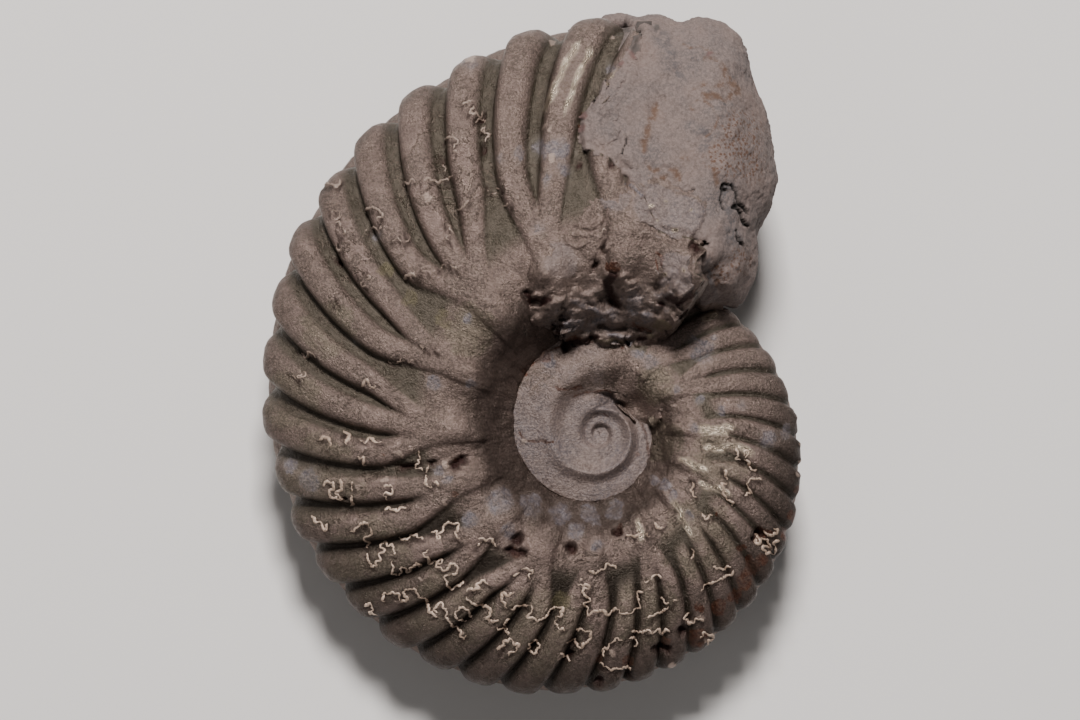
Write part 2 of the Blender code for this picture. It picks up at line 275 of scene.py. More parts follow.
def ribs(angle, place, side):
    """Height of ribs and knobs as a share of the coil's radius, the share of top, and the share of painted
    shade.
    """
    share = flank_share(place)
    number = rib_number(angle, share) + np.where(side < 0, 0.5, 0.0)
    rooting = 1.0 - smooth_rise(share, 0.02, 0.46)
    height = RIB_HEIGHT * (0.26 + 0.74 * smooth_rise(share, 0.02, 0.50)) * smooth_rise(place, 0.0, 1.9)
    height = height + CLAVUS_HEIGHT * np.exp(-(((place - CLAVUS_AT) / 1.0) ** 2))
    height = height * np.interp(angle, *zip(*RIB_VIGOUR))
    lower_share = LOWER_RIB_SHARE + (1.0 - LOWER_RIB_SHARE) * smooth_rise(place, 2.0, 4.0)
    height = height * np.where(side < 0, lower_share, 1.0)
    breadth = np.interp(angle, *zip(*RIB_BREADTHS))
    top = np.zeros(len(angle))
    furrow = np.zeros(len(angle))
    nearest = np.round(number)
    for step in (-1, 0, 1):
        rib = nearest + step
        knob = nearest_knob(rib)
        joined = np.abs(rib - knob) < 1.2
        crest = rib + np.where(joined, (knob - rib) * 0.8 * rooting, 0.0)
        kept = np.where(joined, 1.0, smooth_rise(share, 0.16, 0.42))
        vigour = 1.0 + 0.10 * np.sin(rib * 2.399)
        top = np.maximum(top, kept * vigour * rib_profile(number - crest, breadth))
        furrow = np.maximum(furrow, kept * rib_foot(number - crest, breadth))
    off_wall = 1.0 - smooth_rise(place, 9.0, 10.6)
    knob = nearest_knob(number)
    swell = np.exp(-(((number - knob) / 0.62) ** 2)) * np.exp(-(((place - 8.2) / 1.1) ** 2))
    young = 0.25 + 0.75 * smooth_rise(angle, CAST_START - 40.0, CAST_START)
    groove = (1.0 - top) * smooth_rise(place, 0.8, 2.2) * smooth_rise(share, 0.2, 0.5)
    groove = groove * np.interp(angle, *zip(*RIB_VIGOUR))
    furrow = furrow * smooth_rise(share, 0.14, 0.40) * young
    out = top * height * off_wall + KNOB_HEIGHT * swell - GROOVE_DEPTH * groove - FURROW_DEPTH * furrow
    out = out * young
    lit = np.maximum(top, 1.0 - smooth_rise(share, 0.03, 0.26))
    # Painted shade: the narrow furrow at each rib's foot and the groove floors are darkened as shadow.
    groove_shade = np.interp(angle, *zip(*GROOVE_SHADE))
    dark = np.maximum(furrow * (0.45 + 0.55 * groove_shade), (1.0 - lit) * groove_shade)
    # Painted shade by region: the outer flank where the light falls off, and the inner wall by the seam.
    region_shade = np.interp(angle, *zip(*OUTER_FALLOFF_SHADE)) * smooth_rise(share, 0.35, 1.15)
    region_shade = np.maximum(region_shade, np.interp(angle, *zip(*INNER_WALL_SHADE)) * smooth_rise(place, 7.6, 9.5))
    dark = 1.0 - (1.0 - dark) * (1.0 - region_shade)
    return out, lit, dark


def whorl_points(angle, place, side, out):
    """Points on the whorl in the coil's frame, raised by out, a share of the coil's radius."""
    radius = coil_radius(angle)
    points = section(place)
    inward = np.interp(place, TABLE_PLACES, TABLE_ALONG[:, 0])
    upward = np.interp(place, TABLE_PLACES, TABLE_ALONG[:, 1])
    normals = np.stack([upward, -inward], axis=1)
    normals /= np.linalg.norm(normals, axis=1)[:, None]
    across = (points[:, 0] + normals[:, 0] * out) * radius
    rise = (points[:, 1] + normals[:, 1] * out) * radius * side
    turn = np.radians(-angle)
    return np.stack([across * np.cos(turn), across * np.sin(turn), rise], axis=1)


def put_in_place(piece, points):
    """Give a piece its vertices from the coil's frame, worn flat where it rests."""
    turned = points @ np.array(COIL.to_3x3()).T + np.array(COIL.translation)
    turned = np.clip(turned, np.array(cad_low), np.array(cad_high))
    piece.data.vertices.foreach_set("co", turned.astype(np.float32).ravel())
    piece.data.update()


def add_grid(name, columns, rows):
    """A flat grid to shape, with each vertex's column share and row share."""
    bpy.ops.object.select_all(action="DESELECT")
    bpy.ops.mesh.primitive_grid_add(x_subdivisions=columns, y_subdivisions=rows, size=1.0)
    made = bpy.context.object
    made.name = name
    made.data.name = name
    flat = np.zeros(len(made.data.vertices) * 3, np.float32)
    made.data.vertices.foreach_get("co", flat)
    flat = flat.reshape(-1, 3).astype(float)
    return made, flat[:, 0] + 0.5, flat[:, 1] + 0.5


def close_up(piece, distance):
    """Merge the doubled vertices along a piece's joins and turn its faces outward."""
    bpy.ops.object.select_all(action="DESELECT")
    piece.select_set(True)
    bpy.context.view_layer.objects.active = piece
    bpy.ops.object.mode_set(mode="EDIT")
    bpy.ops.mesh.select_all(action="SELECT")
    bpy.ops.mesh.remove_doubles(threshold=distance)
    bpy.ops.mesh.normals_make_consistent(inside=False)
    bpy.ops.object.mode_set(mode="OBJECT")
    bpy.ops.object.shade_smooth()


def grain(points, size, octaves):
    """Seeded rough noise at points, about -1 to 1, with lumps of a size in metres."""
    return np.array([noise.fractal(Vector(p) / size, 0.9, 2.0, octaves) for p in points])


def where_seen(points):
    """The photograph's pixels over points in the coil's frame."""
    return np.stack([AXIS_SEEN[0] + points[:, 0] / PIXEL, AXIS_SEEN[1] - points[:, 1] / PIXEL], axis=1)


def patches(seen, marks):
    """How much each place belongs to any of some round patches: x, y and radius in pixels."""
    best = np.zeros(len(seen))
    for x, y, radius in marks:
        far = np.hypot(seen[:, 0] - x, seen[:, 1] - y) / radius
        best = np.maximum(best, 1.0 - smooth_rise(far, 0.45, 1.15))
    return best


def strokes(seen, lines, half_width):
    """How near each place is to any of some drawn lines, 1 on the line, in pixels."""
    best = np.zeros(len(seen))
    for line in lines:
        points = np.array(line, float)
        for a, b in zip(points, points[1:]):
            along = b - a
            share = np.clip(((seen - a) @ along) / (along @ along), 0.0, 1.0)
            far = np.linalg.norm(seen - a - share[:, None] * along, axis=1)
            best = np.maximum(best, 1.0 - smooth_rise(far, 0.25 * half_width, 1.3 * half_width))
    return best


# Marks on the cast, each its middle and radius in the photograph's pixels, or a line drawn in them.
PITS = (
    (517, 539, 8), (511, 551, 7), (521, 553, 6), (570, 547, 6), (616, 531, 6), (457, 463, 7), (463, 459, 6),
    (405, 468, 5), (412, 466, 4), (432, 463, 5), (612, 284, 11), (607, 297, 9), (616, 303, 6),
    (535, 301, 9), (527, 296, 6), (694, 249, 8), (665, 298, 6), (676, 301, 7), (684, 297, 5), (660, 306, 5),
    (594, 267, 6), (603, 248, 5), (562, 331, 7), (566, 345, 6), (577, 341, 6), (640, 338, 7), (569, 655, 6),
    (573, 641, 5), (533, 643, 4), (660, 650, 7), (684, 632, 6), (668, 652, 6), (760, 533, 6), (756, 541, 5),
    (600, 684, 6), (629, 676, 5), (345, 497, 3), (337, 262, 4), (352, 283, 3), (441, 160, 4), (483, 120, 5),
    (484, 152, 4), (580, 165, 4), (612, 167, 4),
)
TARNISHED = (
    (702, 352, 18), (693, 342, 9), (714, 338, 7), (677, 388, 8), (694, 428, 8), (721, 411, 8),
    (741, 406, 9), (767, 439, 15), (787, 432, 10), (650, 362, 11), (638, 354, 9), (665, 486, 10),
    (673, 496, 8), (654, 480, 7), (690, 515, 8), (500, 500, 20), (470, 520, 12), (530, 505, 18),
    (560, 513, 17), (590, 517, 16), (615, 510, 14), (575, 530, 14), (597, 545, 11), (510, 530, 12),
    (560, 150, 18), (540, 150, 14), (520, 156, 9), (500, 160, 8), (565, 172, 12), (547, 181, 8),
    (470, 62, 12), (538, 230, 11), (436, 384, 12), (472, 384, 9), (356, 344, 6), (377, 236, 8),
    (633, 305, 15), (576, 326, 13), (642, 318, 10), (590, 300, 10), (548, 360, 12), (470, 318, 9),
    (310, 480, 18), (290, 465, 12), (448, 478, 9), (440, 470, 8), (610, 70, 10), (615, 90, 8),
    (700, 400, 8),
)
RUSTED = (
    (716, 513, 4), (747, 518, 4), (455, 493, 5), (387, 454, 4), (801, 470, 5), (801, 490, 7), (799, 505, 7),
    (797, 520, 6), (765, 533, 9), (757, 541, 7), (762, 560, 8), (752, 570, 12), (745, 583, 12),
    (735, 597, 11), (720, 607, 12), (700, 607, 9), (787, 535, 9), (792, 517, 7), (742, 548, 6),
    (750, 558, 7), (628, 660, 8), (598, 660, 6), (667, 642, 7), (565, 341, 9), (545, 356, 9), (525, 372, 6),
    (590, 338, 7), (602, 341, 5), (622, 346, 5), (580, 128, 5), (584, 118, 4), (515, 553, 9), (572, 549, 7),
    (617, 530, 8), (458, 461, 8), (640, 455, 3), (660, 300, 9), (688, 290, 8), (612, 270, 9),
    (612, 300, 12), (640, 338, 9), (700, 640, 16),
)
# Brown lines along the seams between the inner turns, darkened as painted shade in the seams.
RIM_LINES = (
    ((523, 374), (532, 365), (545, 355), (560, 346), (580, 340), (597, 338)),
    ((555, 386), (568, 390), (583, 388)),
    ((575, 396), (590, 391), (605, 391), (620, 398), (632, 408), (642, 422), (649, 440), (650, 458)),
    ((595, 413), (604, 416), (613, 420)),
    ((521, 431), (527, 440), (538, 443), (552, 441)),
)
# Rubbed, polished bars of bright metal, placed where the light glints on the ribs: rubbed pyrite that is also
# a painted highlight.
WORN_GLINT_BARS = (
    ((547, 108), (555, 86), (567, 63), (577, 46)),
    ((567, 111), (575, 86), (585, 62), (591, 50)),
    ((598, 106), (604, 90), (611, 79)),
    ((702, 427), (731, 427)),
    ((703, 432), (727, 433)),
    ((707, 449), (727, 448)),
    ((731, 447), (752, 452)),
    ((684, 459), (704, 468)),
    ((700, 484), (728, 494)),
    ((675, 502), (683, 520), (690, 532)),
    ((636, 521), (641, 536)),
    ((703, 318), (717, 313)),
)
PALE_LUMPS = (
    (400, 453, 6), (411, 450, 4), (385, 466, 4), (386, 480, 5), (358, 488, 5), (446, 463, 6), (445, 474, 3),
    (447, 500, 5), (361, 440, 5), (330, 440, 4), (395, 600, 3), (421, 577, 4), (435, 613, 4), (461, 633, 4),
    (478, 600, 3), (505, 630, 4), (546, 131, 6), (552, 160, 7), (553, 42, 5), (517, 198, 5), (428, 199, 9),
    (470, 58, 9), (640, 525, 5), (700, 618, 6), (690, 622, 5), (707, 640, 5), (672, 665, 6), (770, 548, 5),
    (612, 652, 5), (630, 641, 4), (650, 631, 4), (665, 631, 4), (560, 656, 5), (525, 440, 4), (541, 275, 9),
    (603, 31, 4), (611, 38, 3), (796, 392, 3), (799, 405, 3), (800, 418, 3), (801, 432, 3), (801, 446, 3),
    (801, 460, 3), (799, 474, 3),
)
SUTURES = (
    ((418, 449), (420, 458), (418, 466), (424, 470), (430, 466)),
    ((428, 474), (427, 482), (432, 486), (436, 480), (441, 484)),
    ((386, 488), (391, 484), (395, 488), (391, 492), (385, 494), (388, 499)),
    ((386, 511), (391, 507), (397, 511), (403, 506), (409, 508)),
    ((313, 514), (316, 521), (322, 524), (325, 530), (328, 522)),
    ((350, 531), (356, 530), (360, 524), (366, 522), (371, 527), (373, 533), (367, 536), (369, 548)),
    ((340, 478), (343, 486), (338, 492), (344, 500)),
    ((352, 480), (353, 495), (351, 508)),
    ((366, 552), (370, 560), (374, 567), (379, 558), (384, 550), (381, 545), (388, 543), (394, 548),
     (393, 560), (394, 572), (400, 574), (403, 566), (409, 572), (414, 563), (420, 567), (417, 560)),
    ((430, 533), (436, 531), (440, 537), (445, 524), (452, 521), (459, 527), (456, 533), (462, 538)),
    ((428, 546), (426, 556), (433, 561), (441, 561), (437, 566), (447, 568), (452, 562), (458, 566),
     (456, 572), (449, 573), (446, 581), (452, 588), (460, 584), (466, 580)),
    ((400, 536), (407, 540), (412, 534), (420, 537), (424, 540)),
    ((385, 601), (384, 594), (392, 592), (399, 595), (402, 602), (407, 598), (404, 591), (411, 588),
     (418, 591), (420, 597), (426, 597), (429, 606), (431, 613), (437, 614), (436, 606), (441, 603),
     (446, 608), (448, 618), (455, 627), (461, 631), (464, 639), (467, 633)),
    ((458, 619), (455, 612), (461, 607), (468, 609), (471, 616), (464, 620), (458, 619)),
    ((363, 606), (369, 604), (374, 608), (369, 612), (378, 615)),
    ((490, 584), (484, 580), (477, 583), (480, 588), (474, 587), (467, 590), (469, 598), (478, 604),
     (487, 606), (492, 612), (487, 617), (494, 621), (499, 617)),
    ((497, 626), (503, 628), (509, 633), (504, 622), (510, 618)),
    ((516, 592), (509, 593), (502, 595), (503, 601), (510, 607), (517, 606), (524, 604), (532, 606),
     (530, 614), (536, 619), (545, 616), (549, 610), (555, 606), (562, 608), (560, 616), (555, 620),
     (558, 627), (565, 628)),
    ((512, 575), (518, 572), (524, 567), (532, 571), (528, 578)),
    ((499, 651), (503, 643), (511, 640), (518, 644), (514, 651), (507, 654)),
    ((526, 648), (533, 641), (540, 645), (536, 652), (529, 652)),
    ((583, 577), (578, 583), (587, 585), (582, 592), (589, 597), (585, 606), (592, 612), (600, 609),
     (607, 613), (616, 609), (625, 613), (634, 610), (640, 604), (637, 596), (643, 590)),
    ((588, 568), (596, 572), (603, 567), (611, 564), (618, 566)),
    ((630, 631), (640, 632), (650, 630), (660, 632), (671, 631)),
    ((649, 619), (655, 613), (662, 612), (668, 606), (674, 609)),
    ((607, 656), (603, 650), (610, 645), (616, 638), (624, 641), (632, 637), (638, 643), (634, 649)),
    ((600, 664), (608, 668), (618, 669), (628, 667), (632, 671)),
    ((566, 642), (574, 640), (580, 646), (588, 641), (591, 634), (584, 629), (576, 630)),
    ((560, 652), (566, 657), (572, 659)),
    ((478, 545), (484, 537), (492, 540), (498, 547)),
    ((640, 575), (648, 580), (655, 574), (662, 578)),
    ((700, 592), (706, 585), (714, 582), (722, 578), (730, 575), (735, 570)),
    ((712, 566), (720, 569), (727, 568), (733, 566)),
    ((690, 545), (694, 552), (690, 560)),
    ((755, 535), (760, 543), (766, 538), (770, 545), (764, 550), (771, 555), (778, 550), (774, 543),
     (781, 541)),
    ((765, 530), (770, 536), (777, 533), (773, 527)),
    ((690, 612), (684, 618), (690, 624), (697, 618), (703, 622)),
    ((700, 640), (706, 634), (713, 638), (708, 646)),
    ((660, 598), (668, 602), (676, 600), (672, 607)),
    ((626, 532), (634, 536), (642, 533), (650, 537)),
    ((652, 524), (660, 527), (668, 523)),
    ((735, 445), (740, 460), (745, 452), (750, 468), (757, 470)),
    ((690, 478), (694, 485), (690, 492), (697, 497)),
    ((723, 470), (727, 480), (722, 490), (728, 499), (733, 505)),
    ((744, 497), (750, 490), (747, 483), (755, 478), (762, 481)),
    ((700, 513), (706, 518), (713, 514)),
    ((323, 185), (330, 183), (337, 187), (341, 180)),
    ((330, 213), (337, 210), (341, 217), (336, 222), (343, 227), (347, 232), (341, 236)),
    ((334, 232), (340, 238), (337, 247), (345, 252)),
    ((358, 272), (366, 270), (369, 278), (363, 284), (369, 288)),
    ((366, 212), (372, 208), (379, 210), (383, 217), (377, 222)),
    ((366, 233), (371, 228), (379, 230), (384, 226)),
    ((392, 242), (399, 240), (405, 244), (410, 239), (404, 234)),
    ((330, 300), (337, 297), (341, 303), (336, 309)),
    ((300, 352), (307, 356), (313, 352), (318, 358)),
    ((290, 372), (297, 377), (304, 374), (300, 381)),
    ((362, 385), (368, 380), (373, 386), (381, 383)),
    ((390, 360), (398, 363), (403, 358), (411, 362), (419, 359)),
    ((405, 280), (411, 274), (418, 277), (424, 271), (431, 275), (428, 282)),
    ((446, 225), (452, 231), (449, 240), (455, 246)),
    ((420, 345), (428, 350), (436, 346), (441, 352)),
    ((440, 270), (448, 265), (456, 268), (462, 275), (457, 283)),
    ((402, 186), (410, 183), (421, 183), (430, 180), (439, 183), (448, 180), (455, 176), (461, 170)),
    ((441, 168), (447, 172), (445, 180)),
    ((470, 200), (465, 207), (459, 212)),
    ((462, 108), (468, 102), (475, 106), (470, 113), (478, 117), (484, 112)),
    ((474, 124), (480, 120), (487, 126), (482, 132), (489, 137), (484, 144)),
    ((445, 142), (451, 138), (458, 142), (454, 150), (461, 155), (468, 151)),
    ((575, 228), (582, 233), (590, 230), (598, 234), (606, 231)),
    ((562, 240), (570, 244), (578, 240)),
    ((488, 190), (496, 194), (502, 190)),
    ((503, 210), (510, 206), (516, 209), (522, 205)),
    ((320, 440), (326, 436), (331, 441), (328, 448)),
    ((345, 430), (350, 436), (347, 444)),
    ((360, 438), (366, 442), (372, 438), (378, 443), (384, 440)),
    ((357, 455), (363, 458), (368, 464)),
    ((322, 485), (329, 481), (335, 486), (331, 493), (337, 499), (344, 495)),
)
FRILLED = (
    (470, 600, 110), (600, 620, 110), (700, 560, 90), (360, 500, 90), (340, 260, 60), (450, 180, 90),
    (740, 450, 60),
)
PLAIN_FRILL = 0.45
GREENED = (
    (320, 480, 70), (370, 560, 70), (450, 610, 70), (540, 630, 70), (640, 610, 60), (700, 540, 60),
    (720, 460, 46), (660, 440, 34), (655, 385, 30), (290, 400, 50), (330, 330, 44), (470, 330, 40),
)
OLIVE = ((662, 325, 13), (650, 335, 9), (412, 300, 14), (385, 270, 12), (445, 318, 16), (560, 600, 16))

turn, column_share, row_share = add_grid("last_turn", TURN_COLUMNS, UPPER_ROWS[-1][0] + LOWER_ROWS + 4)
row = row_share * (UPPER_ROWS[-1][0] + LOWER_ROWS + 4)
place = np.where(
    row <= UPPER_ROWS[-1][0],
    np.interp(UPPER_ROWS[-1][0] - row, *zip(*UPPER_ROWS)),
    np.minimum((row - UPPER_ROWS[-1][0]) / LOWER_ROWS, 1.0) * 12.0,
)
side = np.where(row <= UPPER_ROWS[-1][0], 1.0, -1.0)
thin_end = GROWTH_PER_TURN ** (TUBE_START / 360.0)
thick_end = GROWTH_PER_TURN ** (TUBE_END / 360.0)
base = 360.0 * np.log(thin_end + (thick_end - thin_end) * column_share) / math.log(GROWTH_PER_TURN)
angle = base + smooth_rise(base, CAST_START, CAST_START + 40.0) * sweep(base, flank_share(place))


def cast_relief(angle, place, side):
    """The cast's surface in the coil's frame, with its relief, and the masks of its finish and painted light.
    """
    out, top, dark = ribs(angle, place, side)
    points = whorl_points(angle, place, side, out)
    seen = where_seen(points)
    wander = np.stack([grain(points, 1.1 * MM, 3), grain(points + 7.0 * MM, 1.1 * MM, 3)], axis=1)
    seen = seen + 3.5 * wander
    above = smooth_rise(points[:, 2], 0.0, 0.8 * MM) * (side > 0)
    pit = patches(seen, PITS) * above
    rust = patches(seen, RUSTED) * above
    tarnish = patches(seen, TARNISHED) * above
    rim = strokes(seen, RIM_LINES, 2.0) * above
    # Rubbed bars, brightened as painted highlights where the light glints.
    worn = strokes(seen, WORN_GLINT_BARS, 3.6) * above
    olive = patches(seen, OLIVE) * above
    green = patches(seen, GREENED) * above
    pale = patches(seen, PALE_LUMPS) * above
    # Painted shadow: a dark band 3 pixels below each seam thread, sunk a little.
    shade = strokes(seen + (0.0, -3.0), SUTURES, 2.2) * above
    rugged = smooth_rise(place, 6.6, 8.6) * (1.0 - smooth_rise(angle, 170.0, 190.0) * 0.3)
    rugged = rugged * (0.15 + 0.85 * smooth_rise(angle, CAST_START - 20.0, CAST_START))
    fine = grain(points, 0.45 * MM, 4)
    coarse = grain(points, 1.5 * MM, 4)
    lift = (0.03 + 0.05 * rugged) * MM * fine + 0.13 * MM * rugged * coarse + 0.03 * MM * coarse
    lift += 0.10 * MM * pale - 0.55 * MM * pit - 0.05 * MM * rim - 0.08 * MM * shade
    points = whorl_points(angle, place, side, out + lift / coil_radius(angle))
    masks = {
        "top": top,
        "pit": pit,
        "rust": np.maximum(rust, rim),
        "tarnish": tarnish,
        "worn": worn,
        "green": green,
        "olive": olive,
        "frill": np.maximum(patches(seen, FRILLED), PLAIN_FRILL) * above,
        "fill": np.zeros(len(points)),
        "pale": pale,
        # The shade mask is painted shadow below the threads and painted shade in the seams between turns.
        "shade": np.maximum(shade, 0.5 * rim),
        # The dark mask is painted shade.
        "dark": dark * above,
    }
    return points, masks


def keep_masks(piece, masks):
    """Store each mask of the finish on a piece's vertices."""
    for name, mask in masks.items():
        layer = piece.data.attributes.new(name, "FLOAT", "POINT")
        layer.data.foreach_set("value", mask.astype(np.float32))


points, masks = cast_relief(angle, place, side)
behind_wall = row > UPPER_ROWS[-1][0] + LOWER_ROWS
seam, _ = cast_relief(base, np.full(len(base), 12.0), np.ones(len(base)))
seam[:, 2] *= (row - UPPER_ROWS[-1][0] - LOWER_ROWS - 2.0) / 2.0
points[behind_wall] = seam[behind_wall]
radius = coil_radius(angle)
turn_angle = np.radians(-angle)
heart = np.stack([np.cos(turn_angle), np.sin(turn_angle), 0.0 * turn_angle], axis=1)
heart = heart * (HEART_AT * radius)[:, None]
ending = 1.0 - smooth_rise(base, TUBE_START, CAST_START) * (1.0 - smooth_rise(base, TUBE_END - 1.5, TUBE_END))
points = points + (heart - points) * ending[:, None]
put_in_place(turn, points)
keep_masks(turn, masks)
close_up(turn, 0.004 * MM)

FRONT_BREAK = (
    (0.6, 36.0),
    (0.9, 30.8),
    (2.9, 29.1),
    (1.8, 27.3),
    (1.5, 25.6),
    (0.4, 24.1),
    (-1.1, 23.2),
    (-0.8, 20.7),
    (1.7, 19.5),
    (2.9, 17.8),
    (3.7, 15.9),
    (4.2, 14.7),
    (6.5, 14.2),
    (7.6, 13.3),
    (6.9, 12.6),
    (6.7, 11.7),
    (8.2, 10.6),
    (9.9, 9.4),
    (13.0, 7.6),
    (30.0, 14.0),
    (30.0, 40.0),
    (1.0, 40.0),
)
CUT_REACH = 16.0
cutter_mesh = bpy.data.meshes.new("front_break")
corners = len(FRONT_BREAK)
levels = [(x * MM, y * MM, z * MM) for z in (-CUT_REACH, CUT_REACH) for x, y in FRONT_BREAK]
sides = [[i, (i + 1) % corners, corners + (i + 1) % corners, corners + i] for i in range(corners)]
cutter_mesh.from_pydata(levels, [], sides + [list(range(corners))[::-1], list(range(corners, 2 * corners))])
cutter_mesh.transform(COIL)
cutter = bpy.data.objects.new("front_break", cutter_mesh)
bpy.context.scene.collection.objects.link(cutter)
close_up(cutter, 0.001 * MM)


def cut_off(piece, tool):
    """Take a tool's room out of a piece, for good."""
    cut = piece.modifiers.new("cut", "BOOLEAN")
    cut.object = tool
    cut.operation = "DIFFERENCE"
    cut.solver = "EXACT"
    bpy.context.view_layer.objects.active = piece
    bpy.ops.object.modifier_apply(modifier=cut.name)


cut_off(turn, cutter)
bpy.data.objects.remove(cutter)


def add_node(tree, kind, inputs, **settings):
    """A shader node with its settings, and its inputs set to a value or fed by a socket."""
    made = tree.nodes.new(kind)
    for name, value in settings.items():
        setattr(made, name, value)
    for name, value in inputs.items():
        if isinstance(value, bpy.types.NodeSocket):
            tree.links.new(value, made.inputs[name])
        else:
            made.inputs[name].default_value = value
    return made


def noise_value(tree, place, scale, detail, roughness=0.55, distortion=0.0):
    """A noise pattern's value, with so many lumps in a metre."""
    inputs = {"Vector": place, "Scale": scale, "Detail": detail}
    inputs.update({"Roughness": roughness, "Distortion": distortion})
    return add_node(tree, "ShaderNodeTexNoise", inputs).outputs[0]


def spread(tree, value, low, high, start=0.0, end=1.0):
    """A value mapped from one range to another, held at both ends."""
    ends = {"Value": value, "From Min": low, "From Max": high, "To Min": start, "To Max": end}
    return add_node(tree, "ShaderNodeMapRange", ends).outputs[0]


def times(tree, first, second):
    """Two values multiplied."""
    return add_node(tree, "ShaderNodeMath", {0: first, 1: second}, operation="MULTIPLY").outputs[0]


def plus(tree, first, second):
    """Two values added."""
    return add_node(tree, "ShaderNodeMath", {0: first, 1: second}, operation="ADD").outputs[0]


def over(tree, share, under, upper):
    """One colour laid over another by a share."""
    colours = [(*each, 1.0) if isinstance(each, tuple) else each for each in (under, upper)]
    made = add_node(tree, "ShaderNodeMix", {0: share, 6: colours[0], 7: colours[1]}, data_type="RGBA")
    return made.outputs[2]


def between(tree, share, under, upper):
    """A value between two others by a share."""
    return add_node(tree, "ShaderNodeMix", {0: share, 2: under, 3: upper}).outputs[0]


def most(tree, first, second):
    """The larger of two values."""
    return add_node(tree, "ShaderNodeMath", {0: first, 1: second}, operation="MAXIMUM").outputs[0]


def mask_value(tree, name):
    """A mask of the finish, as stored on a piece's vertices."""
    return add_node(tree, "ShaderNodeAttribute", {}, attribute_name=name).outputs["Fac"]


def ragged(tree, name, broken, share):
    """A mask of the finish, broken up by a pattern, so that it thins out grain by grain."""
    both = plus(tree, times(tree, mask_value(tree, name), share), broken)
    return spread(tree, both, 0.92, 1.10)


def off_line(tree, value, middle):
    """How far a value is from a middle value, either way."""
    away = add_node(tree, "ShaderNodeMath", {0: value, 1: middle}, operation="SUBTRACT").outputs[0]
    return add_node(tree, "ShaderNodeMath", {0: away}, operation="ABSOLUTE").outputs[0]


def make_grain_group():
    """The grain that both minerals show: blotches, specks, frilly plates, a pale rim on their edges with a
    painted highlight, a painted shadow beside it, and grit.
    """
    group = bpy.data.node_groups.new("mineral_grain", "ShaderNodeTree")
    sockets = group.interface
    sockets.new_socket("Place", in_out="INPUT", socket_type="NodeSocketVector")
    for name in ("Blotches", "Mottle", "Specks", "Plates", "Edges", "ShadedGaps", "Grit"):
        sockets.new_socket(name, in_out="OUTPUT", socket_type="NodeSocketFloat")
    start = group.nodes.new("NodeGroupInput").outputs[0]
    end = group.nodes.new("NodeGroupOutput")
    broad = noise_value(group, start, 260.0, 5.0, 0.6)
    mottle = noise_value(group, start, 1300.0, 5.0, 0.7)
    small = noise_value(group, start, 5200.0, 3.0, 0.8)
    wavy = noise_value(group, start, 460.0, 6.0, 0.62, 0.6)
    fine = noise_value(group, start, 6500.0, 3.0, 0.7)
    for name, value in (
        ("Blotches", spread(group, broad, 0.33, 0.67)),
        ("Mottle", spread(group, mottle, 0.44, 0.56)),
        ("Specks", spread(group, small, 0.45, 0.58)),
        ("Plates", spread(group, wavy, 0.496, 0.506)),
        ("Edges", spread(group, off_line(group, wavy, 0.513), 0.005, 0.014, 1.0, 0.0)),
        ("ShadedGaps", spread(group, off_line(group, wavy, 0.492), 0.004, 0.010, 1.0, 0.0)),
        ("Grit", fine),
    ):
        group.links.new(value, end.inputs[name])
    return group


GRAIN_GROUP = make_grain_group()


